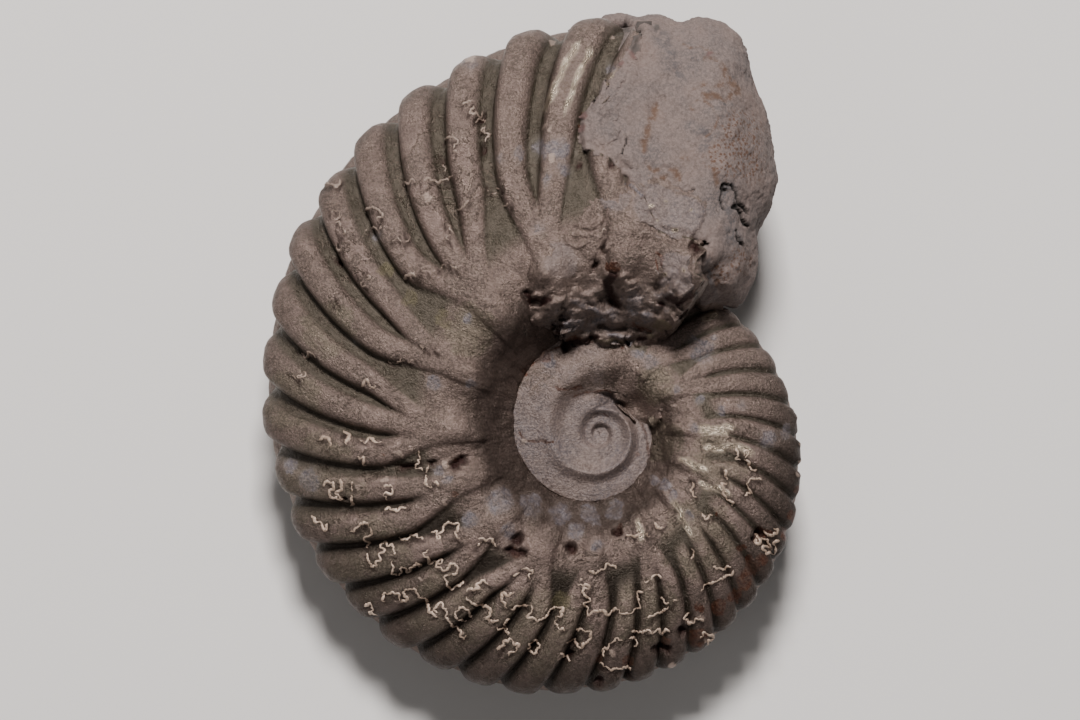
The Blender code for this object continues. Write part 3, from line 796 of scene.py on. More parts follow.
def make_pyrite(name):
    """Dull brown-grey pyrite with darker grooves, painted shade, tarnish, rust, frilly seams and rubbed
    bright bars with painted highlights.
    """
    finish = bpy.data.materials.new(name)
    finish.use_nodes = True
    tree = finish.node_tree
    shader = tree.nodes["Principled BSDF"]
    place = add_node(tree, "ShaderNodeTexCoord", {}).outputs["Object"]
    group = add_node(tree, "ShaderNodeGroup", {}, node_tree=GRAIN_GROUP)
    tree.links.new(place, group.inputs["Place"])
    names = ("Blotches", "Mottle", "Specks", "Plates", "Edges", "ShadedGaps", "Grit")
    blotches, mottle, specks, plates, pale_lit_edges, shaded_gaps, grit = (group.outputs[each] for each in names)
    top = spread(tree, mask_value(tree, "top"), 0.20, 0.62)
    frill = mask_value(tree, "frill")
    broken = noise_value(tree, place, 1000.0, 7.0, 0.78)
    plates = times(tree, plates, frill)
    colour = over(tree, blotches, (0.096, 0.074, 0.060), (0.146, 0.108, 0.090))
    colour = over(tree, times(tree, plates, 0.75), colour, (0.215, 0.156, 0.136))
    colour = over(tree, times(tree, mottle, 0.52), colour, (0.076, 0.056, 0.048))
    colour = over(tree, times(tree, specks, 0.55), colour, (0.290, 0.215, 0.190))
    greenish = over(tree, specks, (0.092, 0.082, 0.054), (0.190, 0.168, 0.118))
    colour = over(tree, times(tree, ragged(tree, "green", broken, 0.60), 0.50), colour, greenish)
    groove_colour = over(tree, mottle, (0.070, 0.058, 0.042), (0.112, 0.094, 0.073))
    colour = over(tree, top, groove_colour, colour)
    # A pale rim on the plates' edges, brightened as a painted highlight, and a painted shadow just outside
    # it.
    colour = over(tree, times(tree, times(tree, pale_lit_edges, frill), 0.40), colour, (0.300, 0.232, 0.190))
    colour = over(tree, times(tree, times(tree, shaded_gaps, frill), 0.50), colour, (0.036, 0.021, 0.013))
    # Painted shade, near black, from the dark mask: grooves, the ribs' feet, the lower outer flank and the
    # inner wall.
    colour = over(tree, mask_value(tree, "dark"), colour, (0.012, 0.007, 0.004))
    filling = over(tree, blotches, (0.096, 0.082, 0.088), (0.150, 0.110, 0.094))
    filling = over(tree, times(tree, mottle, 0.30), filling, (0.075, 0.060, 0.056))
    filling = over(tree, times(tree, specks, 0.65), filling, (0.250, 0.194, 0.174))
    colour = over(tree, ragged(tree, "fill", broken, 0.85), colour, filling)
    colour = over(tree, times(tree, ragged(tree, "olive", broken, 0.60), 0.50), colour, (0.135, 0.116, 0.064))
    bluish = times(tree, ragged(tree, "tarnish", broken, 0.60), spread(tree, mottle, 0.0, 1.0, 0.95, 0.35))
    colour = over(tree, bluish, colour, over(tree, specks, (0.078, 0.068, 0.078), (0.190, 0.168, 0.174)))
    rusty = times(tree, ragged(tree, "rust", broken, 0.70), spread(tree, mottle, 0.0, 1.0, 0.90, 0.35))
    colour = over(tree, rusty, colour, over(tree, specks, (0.060, 0.019, 0.011), (0.130, 0.055, 0.030)))
    colour = over(tree, mask_value(tree, "pit"), colour, (0.026, 0.009, 0.007))
    colour = over(tree, times(tree, ragged(tree, "pale", broken, 0.70), 0.8), colour, (0.340, 0.262, 0.220))
    # Painted shadow below the seam threads and painted shade in the seams between turns.
    colour = over(tree, times(tree, mask_value(tree, "shade"), 0.8), colour, (0.020, 0.010, 0.007))
    # Bright polished metal on the rubbed bars and the crust's glints: partly painted highlight.
    worn = mask_value(tree, "worn")
    colour = over(tree, worn, colour, over(tree, mottle, (0.520, 0.440, 0.350), (0.300, 0.245, 0.190)))
    tree.links.new(colour, shader.inputs["Base Color"])
    dull = spread(tree, mottle, 0.0, 1.0, 0.33, 0.52)
    tree.links.new(between(tree, worn, dull, 0.26), shader.inputs["Roughness"])
    mineral = most(tree, mask_value(tree, "fill"), mask_value(tree, "tarnish"))
    metal = most(tree, spread(tree, mineral, 0.0, 1.0, 0.62, 0.05), worn)
    tree.links.new(metal, shader.inputs["Metallic"])
    height = plus(tree, times(tree, grit, 1.2), times(tree, plates, 0.6))
    bump = add_node(tree, "ShaderNodeBump", {"Height": height, "Strength": 1.0, "Distance": 0.10 * MM})
    tree.links.new(bump.outputs[0], shader.inputs["Normal"])
    return finish


pyrite = make_pyrite("pyrite")
turn.data.materials.clear()
turn.data.materials.append(pyrite)
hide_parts("ammonite_cast")
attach(turn, "root")

# The seams: where each chamber's wall met the shell, its frilled edge stands out of the cast as
# a fine pale line. They are thin raised threads of pyrite that follow the flank they grew in.
THREAD_RADIUS = 0.115 * MM
THREAD_STEP = 0.7
THREAD_FRILL = 4.2
FOLDS = ((1.0, 5.0), (0.50, 2.0))
LOWER_SEAMS_FROM = 420
LOWER_SUNK = 0.085 * MM
UPPER_SUNK = 0.115 * MM


def surface_under(piece):
    """A search tree of a piece's surface, for laying things on it."""
    mesh = piece.data
    mesh.calc_loop_triangles()
    corners = np.zeros(len(mesh.vertices) * 3, np.float32)
    mesh.vertices.foreach_get("co", corners)
    triangles = np.zeros(len(mesh.loop_triangles) * 3, np.int32)
    mesh.loop_triangles.foreach_get("vertices", triangles)
    return BVHTree.FromPolygons(corners.reshape(-1, 3).tolist(), triangles.reshape(-1, 3).tolist())


def lay_down(tree, seen, default=None):
    """The point in the coil's frame where a place in the photograph meets a surface."""
    x = (seen[0] - AXIS_SEEN[0]) * PIXEL
    y = (AXIS_SEEN[1] - seen[1]) * PIXEL
    hit = tree.ray_cast(COIL @ Vector((x, y, 30.0 * MM)), COIL.to_3x3() @ Vector((0.0, 0.0, -1.0)))[0]
    return default if hit is None else TO_COIL @ hit


def frilled_path(line, closeness, frill):
    """A smooth path through drawn points, with small folds across it, in the photograph's pixels."""
    knots = np.array(line, float)
    padded = np.vstack([2 * knots[0] - knots[1], knots, 2 * knots[-1] - knots[-2]])
    path = []
    for a, b, c, d in zip(padded, padded[1:], padded[2:], padded[3:]):
        steps = max(2, int(np.linalg.norm(c - b) / closeness))
        for t in np.arange(steps) / steps:
            bend = (2 * a - 5 * b + 4 * c - d) * t * t
            twist = (3 * b - a - 3 * c + d) * t**3
            path.append(0.5 * (2 * b + (c - a) * t + bend + twist))
    path.append(knots[-1])
    path = np.array(path)
    travelled = np.concatenate([[0.0], np.cumsum(np.linalg.norm(np.diff(path, axis=0), axis=1))])
    along = np.gradient(path, axis=0)
    along /= np.linalg.norm(along, axis=1)[:, None]
    across = np.stack([-along[:, 1], along[:, 0]], axis=1)
    start = knots[0]
    drift = np.zeros(len(path))
    for share, fold in FOLDS:
        drift += share * np.array([noise.noise(Vector((step / fold, *start))) for step in travelled])
    return path + across * (frill * drift)[:, None]


TO_COIL = COIL.inverted()
turn_surface = surface_under(turn)
thread_curve = bpy.data.curves.new("seam_threads", "CURVE")
thread_curve.dimensions = "3D"
thread_curve.bevel_depth = THREAD_RADIUS
thread_curve.bevel_resolution = 1
thread_curve.use_fill_caps = True
for line in SUTURES:
    path = frilled_path(line, THREAD_STEP, THREAD_FRILL)
    laid = [lay_down(turn_surface, seen) for seen in path]
    laid = [point for point in laid if point is not None]
    if len(laid) < 3:
        continue
    spline = thread_curve.splines.new("POLY")
    spline.points.add(len(laid) - 1)
    sunk = Vector((0.0, 0.0, LOWER_SUNK if line[0][1] > LOWER_SEAMS_FROM else UPPER_SUNK))
    for count, (here, point) in enumerate(zip(laid, spline.points)):
        point.co = (*(COIL @ (here - sunk)), 1.0)
        ending = min(count, len(laid) - 1 - count) / 6.0
        point.radius = min(1.0, 0.5 + ending) * (1.0 + 0.7 * noise.noise(here / (0.6 * MM)))
threads = bpy.data.objects.new("seam_threads", thread_curve)
bpy.context.scene.collection.objects.link(threads)
bpy.ops.object.select_all(action="DESELECT")
threads.select_set(True)
bpy.context.view_layer.objects.active = threads
bpy.ops.object.convert(target="MESH")
threads = bpy.context.object
threads.name = "seam_threads"
bpy.ops.object.shade_smooth()


def make_thread_finish(name):
    """The seams' own colour: a paler, pinkish, rubbed pyrite."""
    finish = bpy.data.materials.new(name)
    finish.use_nodes = True
    tree = finish.node_tree
    shader = tree.nodes["Principled BSDF"]
    place = add_node(tree, "ShaderNodeTexCoord", {}).outputs["Object"]
    group = add_node(tree, "ShaderNodeGroup", {}, node_tree=GRAIN_GROUP)
    tree.links.new(place, group.inputs["Place"])
    colour = over(tree, group.outputs["Blotches"], (0.340, 0.250, 0.190), (0.600, 0.465, 0.370))
    colour = over(tree, times(tree, group.outputs["Specks"], 0.3), colour, (0.200, 0.145, 0.110))
    up_flank = add_node(tree, "ShaderNodeSeparateXYZ", {"Vector": place}).outputs["Y"]
    faded = spread(tree, up_flank, -7.0 * MM, 1.0 * MM, 0.0, 0.80)
    colour = over(tree, faded, colour, (0.190, 0.145, 0.122))
    tree.links.new(colour, shader.inputs["Base Color"])
    shader.inputs["Roughness"].default_value = 0.55
    shader.inputs["Metallic"].default_value = 0.2
    return finish


threads.data.materials.append(make_thread_finish("rubbed_pyrite"))
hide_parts("ammonite_cast")
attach(threads, "root")

# The navel: the inner turns that show inside the last one, half buried in pale fine-grained fill
# that hardened round them. It is one closed lens here, tucked under the last turn's seam.
NAVEL_COLUMNS = 320
NAVEL_ROWS = 84
NAVEL_LOWER_ROWS = 44
NAVEL_ALL_ROWS = NAVEL_ROWS + NAVEL_LOWER_ROWS + 2
NAVEL_TUCK = 0.30 * MM
NAVEL_HEART = 0.45 * MM
FILL_EVENNESS = 0.34
FILL_SHARE = 0.92

navel, column_share, row_share = add_grid("navel", NAVEL_COLUMNS, NAVEL_ALL_ROWS)
row = row_share * NAVEL_ALL_ROWS
seen_angle = 360.0 * column_share
last_turn_angle = (-seen_angle - CAST_START) % 360.0 + CAST_START
seam_radius = SECTION[-1][0] * coil_radius(last_turn_angle)
after_jump = smooth_rise(last_turn_angle, CAST_START, CAST_START + 12.0)
next_seam_radius = SECTION[-1][0] * coil_radius(last_turn_angle + 360.0)
rim_radius = seam_radius * after_jump + next_seam_radius * (1.0 - after_jump) + NAVEL_TUCK
share = np.where(row <= NAVEL_ROWS, row / NAVEL_ROWS, (NAVEL_ALL_ROWS - row) / NAVEL_LOWER_ROWS)
share = np.clip(share, 0.0, 1.0)
side = np.where(row <= NAVEL_ROWS + 1, 1.0, -1.0)
reach = np.maximum(share * rim_radius, 0.02 * MM)
held = np.maximum(reach, NAVEL_HEART)
whole_turns = np.log(held / (SECTION[6][0] * coil_radius(-seen_angle))) / math.log(GROWTH_PER_TURN)
turns_in = np.floor(whole_turns) + 1.0
angle = -seen_angle + 360.0 * turns_in
ratio = held / coil_radius(angle)
inner = TABLE_PLACES >= 6.0
place = np.interp(ratio, TABLE_POINTS[inner, 0][::-1], TABLE_PLACES[inner][::-1])
points, masks = cast_relief(angle, place, side)
level = np.abs(points[:, 2])
crest_height = SECTION[8][1] * coil_radius(CAST_START)
crest = crest_height * GROWTH_PER_TURN ** (FILL_EVENNESS * np.minimum(angle - CAST_START, 0.0) / 360.0)
ramp = crest * (1.0 - (1.0 - GROWTH_PER_TURN**-FILL_EVENNESS) * smooth_rise(place, 7.4, 12.0))
buried = 1.0 - smooth_rise(angle, CAST_START - 410.0, CAST_START - 360.0)
filled = np.maximum(buried, smooth_rise(place, 7.2, 9.0))
filled = FILL_SHARE * filled * (1.0 - smooth_rise(angle, CAST_START, CAST_START + 6.0))
level = level + filled * np.maximum(ramp - level, 0.0)
under_turn = smooth_rise(reach - seam_radius, 0.0, 0.2 * MM)
under_turn = under_turn * smooth_rise(last_turn_angle, CAST_START + 0.5, CAST_START + 3.0)
level = level - 0.5 * MM * under_turn
turned = np.radians(seen_angle)
points = np.stack([reach * np.cos(turned), reach * np.sin(turned), level * side], axis=1)
masks["fill"] = (1.0 - smooth_rise(angle, CAST_START - 32.0, CAST_START - 26.0)) * (side > 0)
masks["top"] = np.maximum(masks["top"], masks["fill"])
masks["fill"] *= 1.0 - 0.45 * smooth_rise(points[:, 1], 0.8 * MM, 3.6 * MM)
put_in_place(navel, points)
keep_masks(navel, masks)
close_up(navel, 0.004 * MM)
navel.data.materials.append(pyrite)
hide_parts("ammonite_cast")
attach(navel, "root")

# The navel's filling: the same hardened fill, smeared over the place where the last turn starts
# beside the inner ones, so that their surfaces run into each other there.
FILLED_AREA = ((640, 394, 24), (648, 406, 20), (630, 386, 18), (650, 386, 22))
FILLING_CORNERS = (600.0, 352.0, 682.0, 450.0)
FILLING_STEP = 1.1
NO_SURFACE = -9.0 * MM
GAP_REACH = 6
GAP_DEPTH = 0.6 * MM
SHEET_THICKNESS = 1.0 * MM


def read_points(piece, kind):
    """A piece's vertex places or normals as an array."""
    values = np.zeros(len(piece.data.vertices) * 3, np.float32)
    piece.data.vertices.foreach_get(kind, values)
    return values.reshape(-1, 3).astype(float)


def lay_sheet(name, corners, step, carriers, passes):
    """A grid over left, top, right and bottom in the photograph, with its level and a smoothed one."""
    left, top, right, bottom = corners
    columns = round((right - left) / step)
    rows = round((bottom - top) / step)
    sheet, column_share, row_share = add_grid(name, columns, rows)
    seen_x = left + (right - left) * column_share
    seen_y = bottom - (bottom - top) * row_share
    trees = [surface_under(piece) for piece in carriers]
    level = np.zeros(len(seen_x))
    for count, spot in enumerate(zip(seen_x, seen_y)):
        hits = [lay_down(tree, spot) for tree in trees]
        level[count] = max([hit.z for hit in hits if hit is not None], default=NO_SURFACE)
    in_order = np.lexsort((column_share, row_share))
    levels = level[in_order].reshape(rows + 1, columns + 1)
    around = levels
    for _ in range(GAP_REACH):
        edged = np.pad(around, 1, mode="edge")
        beside = (edged[:-2, 1:-1], edged[2:, 1:-1], edged[1:-1, :-2], edged[1:-1, 2:])
        around = np.maximum.reduce([*beside, around])
    levels = np.where(around - levels > GAP_DEPTH, around - 0.1 * MM, levels)
    level[in_order] = levels.ravel()
    flat = np.stack([(seen_x - AXIS_SEEN[0]) * PIXEL, (AXIS_SEEN[1] - seen_y) * PIXEL, level], axis=1)
    for _ in range(passes):
        edged = np.pad(levels, 1, mode="edge")
        beside = edged[:-2, 1:-1] + edged[2:, 1:-1] + edged[1:-1, :-2] + edged[1:-1, 2:]
        levels = (beside + 4.0 * levels) / 8.0
    smoothed = np.zeros(len(flat))
    smoothed[in_order] = levels.ravel()
    return sheet, flat, smoothed


def thicken(sheet):
    """Give a sheet a back, inside what it lies on, so that it is closed."""
    bpy.ops.object.select_all(action="DESELECT")
    sheet.select_set(True)
    bpy.context.view_layer.objects.active = sheet
    thickness = sheet.modifiers.new("thickness", "SOLIDIFY")
    thickness.thickness = SHEET_THICKNESS
    thickness.offset = -1.0
    bpy.ops.object.modifier_apply(modifier=thickness.name)
    held = np.clip(read_points(sheet, "co"), np.array(cad_low), np.array(cad_high))
    sheet.data.vertices.foreach_set("co", held.astype(np.float32).ravel())
    bpy.ops.object.shade_smooth()


filling, flat, smoothed = lay_sheet("navel_filling", FILLING_CORNERS, FILLING_STEP, (turn, navel), 90)
wander = grain(flat, 0.9 * MM, 3)[:, None]
area = patches(where_seen(flat) + 2.0 * wander, FILLED_AREA)
filling_masks = {name: np.zeros(len(flat)) for name in masks}
filling_masks["top"] = np.ones(len(flat))
filling_masks["green"] = patches(where_seen(flat), GREENED)
filling_masks["tarnish"] = patches(where_seen(flat), TARNISHED)
filling_masks["frill"] = np.full(len(flat), 0.5)
blend = smooth_rise(area, 0.1, 0.95)
smear = (smoothed - flat[:, 2]) * blend + 0.03 * MM * grain(flat, 0.42 * MM, 4)
flat[:, 2] += smear + (0.12 * blend - 0.06) * MM
flat[:, 2] -= 0.8 * MM * (1.0 - smooth_rise(area, 0.0, 0.12))
put_in_place(filling, flat)
keep_masks(filling, filling_masks)
thicken(filling)
filling.data.materials.append(pyrite)
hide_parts("ammonite_cast")
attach(filling, "root")

# The stone: pale grey-pink marl that filled the start of the living chamber and stuck when the
# rest of the shell was lost. It broke off roughly, with small pits, brown stains and dark cracks.
STONE_VOXEL = 0.13 * MM
STONE_FILLS = (
    ((703, 238, 9.0), (720, 236, 8.6), (744, 234, 6.2), (757, 236, 3.4), (758, 262, 3.0), (752, 285, 3.0),
     (742, 304, 2.8), (716, 299, 4.8), (704, 262, 8.8), (722, 262, 8.0), (724, 284, 6.6), (744, 262, 5.6)),
    ((690, 256, 9.5), (703, 254, 9.3), (708, 276, 7.8), (717, 301, 4.6), (700, 306, 4.8), (692, 286, 7.8)),
    ((708, 182, 8.45), (708, 228, 8.8), (745, 180, 6.7), (758, 186, 5.2), (758, 214, 4.2), (748, 232, 5.7),
     (732, 180, 7.6), (730, 232, 7.5), (733, 206, 7.4)),
)
FILL_DEPTH = 5.0
EDGE_LIFT = 0.36 * MM
STONE_SOFTENING = 40
STAINS = (
    (((656, 108), (650, 122), (645, 138), (642, 153)), 4.5),
    (((643, 142), (642, 152)), 5.5),
    (((645, 166), (652, 174), (662, 168), (671, 173)), 2.2),
    (((654, 181), (664, 180)), 4.0),
    (((720, 88), (735, 84), (738, 92), (724, 100), (703, 98)), 4.5),
    (((722, 66), (728, 78), (730, 90)), 3.0),
    (((674, 174), (676, 184)), 5.0),
    (((681, 157), (683, 163)), 4.0),
    (((692, 112), (689, 106), (695, 103), (704, 104), (712, 111), (716, 121), (713, 130), (704, 140)), 1.3),
    (((705, 60), (716, 63), (724, 72), (727, 84), (722, 96)), 2.6),
    (((694, 91), (702, 87), (712, 90), (720, 88), (730, 86), (738, 84)), 2.2),
    (((683, 46), (690, 50), (700, 50), (709, 53)), 1.4),
    (((714, 268), (716, 285)), 3.0),
    (((712, 172), (716, 190)), 3.0),
)
GREYED = (
    (((690, 60), (702, 59)), 1.6),
    (((706, 94), (713, 102), (721, 105), (728, 106)), 2.4),
    (((726, 192), (728, 215), (733, 240)), 10.0),
    (((703, 260), (708, 279), (716, 297)), 3.2),
    (((722, 66), (733, 78), (741, 86)), 1.2),
    (((660, 36), (668, 62), (676, 80)), 12.0),
    (((690, 128), (712, 138), (700, 150)), 7.0),
)
CRACKS = (
    (((722, 186), (721, 192), (723, 193)), 3.0),
    (((721, 194), (719, 201), (722, 208), (724, 211)), 1.6),
    (((722, 187), (729, 187), (733, 195), (737, 203)), 1.5),
    (((733, 206), (738, 205), (742, 209), (746, 213)), 2.8),
    (((736, 208), (738, 214), (741, 218), (744, 225), (749, 227)), 2.6),
    (((731, 209), (739, 208)), 1.8),
    (((735, 232), (737, 240), (741, 247)), 1.6),
    (((691, 246), (697, 251), (702, 245)), 4.5),
    (((690, 296), (695, 303), (699, 309)), 1.6),
    (((621, 158), (624, 150), (625, 140)), 1.4),
    (((640, 196), (650, 190), (660, 194), (672, 190), (684, 196), (692, 192)), 1.5),
)
# Grey remnants of the cast on the stone beside the rib, darkened as painted shade along the cast's edge.
REMNANTS_AND_SHADE = ((641, 34, 6), (634, 40, 7), (627, 45, 7), (635, 50, 6), (656, 28, 4), (625, 28, 4), (630, 30, 3))
REDDENED = (
    (632, 56, 5), (626, 52, 3), (621, 66, 3), (580, 130, 6), (583, 118, 4), (710, 56, 3), (645, 217, 5),
)
PEPPERED = ((742, 135, 30), (724, 160, 26), (748, 165, 24), (716, 275, 16), (740, 262, 18))

stone_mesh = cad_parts["matrix_plug"].data.copy()
stone = bpy.data.objects.new("stone_plug", stone_mesh)
bpy.context.scene.collection.objects.link(stone)
close_up(stone, 0.001 * MM)
for tops in STONE_FILLS:
    fill_mesh = bpy.data.meshes.new("stone_fill")
    placed = [((x - AXIS_SEEN[0]) * PIXEL, (AXIS_SEEN[1] - y) * PIXEL, z * MM) for x, y, z in tops]
    placed += [(x, y, z - FILL_DEPTH * MM) for x, y, z in placed]
    fill_mesh.from_pydata(placed, [], [])
    fill_mesh.transform(COIL)
    fill = bpy.data.objects.new("stone_fill", fill_mesh)
    bpy.context.scene.collection.objects.link(fill)
    bpy.ops.object.select_all(action="DESELECT")
    fill.select_set(True)
    bpy.context.view_layer.objects.active = fill
    bpy.ops.object.mode_set(mode="EDIT")
    bpy.ops.mesh.select_all(action="SELECT")
    bpy.ops.mesh.convex_hull()
    bpy.ops.object.mode_set(mode="OBJECT")
    stone.select_set(True)
    bpy.context.view_layer.objects.active = stone
    bpy.ops.object.join()
remesh = stone.modifiers.new("even", "REMESH")
remesh.mode = "VOXEL"
remesh.voxel_size = STONE_VOXEL
bpy.context.view_layer.objects.active = stone
bpy.ops.object.modifier_apply(modifier=remesh.name)
soften = stone.modifiers.new("soften", "SMOOTH")
soften.factor = 0.5
soften.iterations = STONE_SOFTENING
bpy.ops.object.modifier_apply(modifier=soften.name)
bpy.ops.object.shade_smooth()

turned_back = np.array(COIL.to_3x3())
flat = (read_points(stone, "co") - np.array(COIL.translation)) @ turned_back
flat_normals = read_points(stone, "normal") @ turned_back
front = np.array(FRONT_BREAK[:15]) * MM
nearest = np.full(len(flat), 1.0)
for a, b in zip(front, front[1:]):
    along = b - a
    share = np.clip(((flat[:, :2] - a) @ along) / (along @ along), 0.0, 1.0)
    nearest = np.minimum(nearest, np.linalg.norm(flat[:, :2] - a - share[:, None] * along, axis=1))
towards_cast = 1.0 - smooth_rise(nearest, 0.5 * MM, 1.3 * MM)
above = smooth_rise(flat_normals[:, 2], -0.1, 0.3) * (flat[:, 2] > 0.5 * MM)
seen = where_seen(flat)
wander = np.stack([grain(flat, 0.9 * MM, 3), grain(flat + 5.0 * MM, 0.9 * MM, 3)], axis=1)
drawn = seen + 1.6 * wander
stone_masks = {"stain": np.zeros(len(flat)), "greyed": np.zeros(len(flat)), "crack": np.zeros(len(flat))}
for name, lines in (("stain", STAINS), ("greyed", GREYED), ("crack", CRACKS)):
    for line, half_width in lines:
        stone_masks[name] = np.maximum(stone_masks[name], strokes(drawn, (line,), half_width) * above)
chipped = stone_masks["crack"] + 0.5 * grain(flat, 0.25 * MM, 3)
stone_masks["crack"] = smooth_rise(chipped, 0.45, 0.75) * (stone_masks["crack"] > 0.02)
stone_masks["remnant_and_shade"] = patches(seen + 2.5 * wander, REMNANTS_AND_SHADE) * above
stone_masks["reddened"] = patches(seen + 3.0 * wander, REDDENED) * above
stone_masks["peppered"] = patches(seen, PEPPERED) * above
flake = grain(flat + 3.0 * MM, 1.3 * MM, 4)
lift = 0.17 * MM * grain(flat, 2.4 * MM, 5) + 0.045 * MM * grain(flat, 0.42 * MM, 4)
lift += EDGE_LIFT * towards_cast
lift += 0.07 * MM * smooth_rise(flake, 0.02, 0.10) - 0.30 * MM * stone_masks["crack"]
lift += 0.06 * MM * stone_masks["remnant_and_shade"] - 0.05 * MM * stone_masks["stain"]
put_in_place(stone, flat + flat_normals * lift[:, None])
keep_masks(stone, stone_masks)


def make_stone(name):
    """Pale grey-pink marl: chalky, speckled, with brown stains and thin dark cracks."""
    finish = bpy.data.materials.new(name)
    finish.use_nodes = True
    tree = finish.node_tree
    shader = tree.nodes["Principled BSDF"]
    place = add_node(tree, "ShaderNodeTexCoord", {}).outputs["Object"]
    group = add_node(tree, "ShaderNodeGroup", {}, node_tree=GRAIN_GROUP)
    tree.links.new(place, group.inputs["Place"])
    names = ("Blotches", "Mottle", "Specks", "Grit")
    blotches, mottle, specks, grit = (group.outputs[each] for each in names)
    colour = over(tree, blotches, (0.098, 0.084, 0.083), (0.156, 0.114, 0.100))
    colour = over(tree, times(tree, mottle, 0.40), colour, (0.142, 0.116, 0.109))
    colour = over(tree, times(tree, specks, 0.60), colour, (0.215, 0.166, 0.150))
    sand = noise_value(tree, place, 3400.0, 4.0, 0.75)
    colour = over(tree, spread(tree, sand, 0.57, 0.64, 0.0, 0.55), colour, (0.070, 0.054, 0.048))
    cells = add_node(tree, "ShaderNodeTexVoronoi", {"Vector": place, "Scale": 3600.0, "Randomness": 1.0})
    dots = spread(tree, cells.outputs["Distance"], 0.34, 0.52, 1.0, 0.0)
    dots = times(tree, dots, spread(tree, sand, 0.43, 0.49))
    dots = times(tree, dots, mask_value(tree, "peppered"))
    colour = over(tree, times(tree, dots, 0.9), colour, (0.086, 0.042, 0.024))
    broken = spread(tree, mottle, 0.0, 1.0, 0.95, 0.15)
    greyed = times(tree, mask_value(tree, "greyed"), times(tree, broken, 0.60))
    colour = over(tree, greyed, colour, (0.060, 0.060, 0.066))
    stained = times(tree, mask_value(tree, "stain"), times(tree, broken, 0.90))
    colour = over(tree, stained, colour, (0.094, 0.052, 0.032))
    colour = over(tree, times(tree, mask_value(tree, "reddened"), 0.6), colour, (0.090, 0.036, 0.034))
    # Grey remnant, with painted shade, where the stone meets the cast's rib.
    colour = over(tree, times(tree, mask_value(tree, "remnant_and_shade"), 0.85), colour, (0.060, 0.052, 0.048))
    colour = over(tree, mask_value(tree, "crack"), colour, (0.010, 0.008, 0.007))
    tree.links.new(colour, shader.inputs["Base Color"])
    shader.inputs["Roughness"].default_value = 0.9
    bump = add_node(tree, "ShaderNodeBump", {"Height": grit, "Strength": 0.9, "Distance": 0.08 * MM})
    tree.links.new(bump.outputs[0], shader.inputs["Normal"])
    return finish


marl = make_stone("marl")
stone.data.materials.clear()
stone.data.materials.append(marl)
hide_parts("matrix_plug")
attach(stone, "root")

# The stone's edge: a thin ragged skin of the same stone that creeps over the cast where the two
# meet, so that no open joint shows. It dips into the cast and the stone at its own edges.
EDGE_LINES = (
    ((638, 40), (634, 50), (622, 72), (611, 92), (600, 106), (588, 118), (586, 134), (588, 146)),
    ((588, 146), (600, 153), (614, 161), (626, 172), (636, 183), (648, 194), (655, 206)),
    ((596, 122), (600, 140)),
    ((612, 112), (610, 140)),
)
EDGE_CORNERS = (572.0, 26.0, 668.0, 216.0)
EDGE_STEP = 1.1
EDGE_HALF_WIDTH = 7.0

edge, flat, smoothed = lay_sheet("stone_edge", EDGE_CORNERS, EDGE_STEP, (turn, stone), 12)
flat[:, 2] = smoothed
wander = np.stack([grain(flat, 0.6 * MM, 4), grain(flat + 5.0 * MM, 0.6 * MM, 4)], axis=1)
drawn = where_seen(flat) + 5.0 * wander
area = strokes(drawn, EDGE_LINES, EDGE_HALF_WIDTH)
edge_masks = {name: np.zeros(len(flat)) for name in stone_masks}
for name, lines in (("stain", STAINS), ("greyed", GREYED)):
    for line, half_width in lines:
        edge_masks[name] = np.maximum(edge_masks[name], strokes(drawn, (line,), half_width))
edge_masks["remnant_and_shade"] = patches(where_seen(flat) + 2.5 * wander, REMNANTS_AND_SHADE)
edge_masks["reddened"] = patches(where_seen(flat) + 3.0 * wander, REDDENED)
flat[:, 2] += 0.05 * MM * grain(flat, 0.42 * MM, 4) + (0.26 * smooth_rise(area, 0.1, 0.8) - 0.16) * MM
flat[:, 2] -= 1.2 * MM * (1.0 - smooth_rise(area, 0.0, 0.15))
put_in_place(edge, flat)
keep_masks(edge, edge_masks)
thicken(edge)
edge.data.materials.append(marl)
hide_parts("matrix_plug")
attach(edge, "root")

# The crust: mineral grains, flakes and cavities where the last turn's inner wall, the stone and the
# navel meet. It grew over the cast there as one rough sheet, which dips into the cast at its edges.
CRUST_AREA = (
    (548, 280, 34), (575, 250, 32), (605, 225, 34), (650, 212, 44), (680, 215, 34), (600, 300, 46),
    (640, 288, 52), (666, 262, 34), (575, 330, 20), (610, 330, 22), (645, 326, 26), (666, 318, 17),
    (545, 306, 22), (676, 284, 20),
)
# Blue-grey tarnish over the crust's lower wall, laid on lighter as painted light where the wall lies in
# shade.
CRUST_LIGHTENED_TARNISH = ((600, 312, 44), (560, 322, 30), (636, 306, 34), (660, 300, 22))
CRUST_GRANULAR = (
    (655, 208, 30), (684, 218, 28), (672, 270, 22), (560, 262, 24), (682, 285, 16), (615, 200, 20),
)
CRUST_LAYERED = ((600, 315, 50), (650, 300, 30), (560, 325, 26), (680, 290, 20), (585, 240, 20))
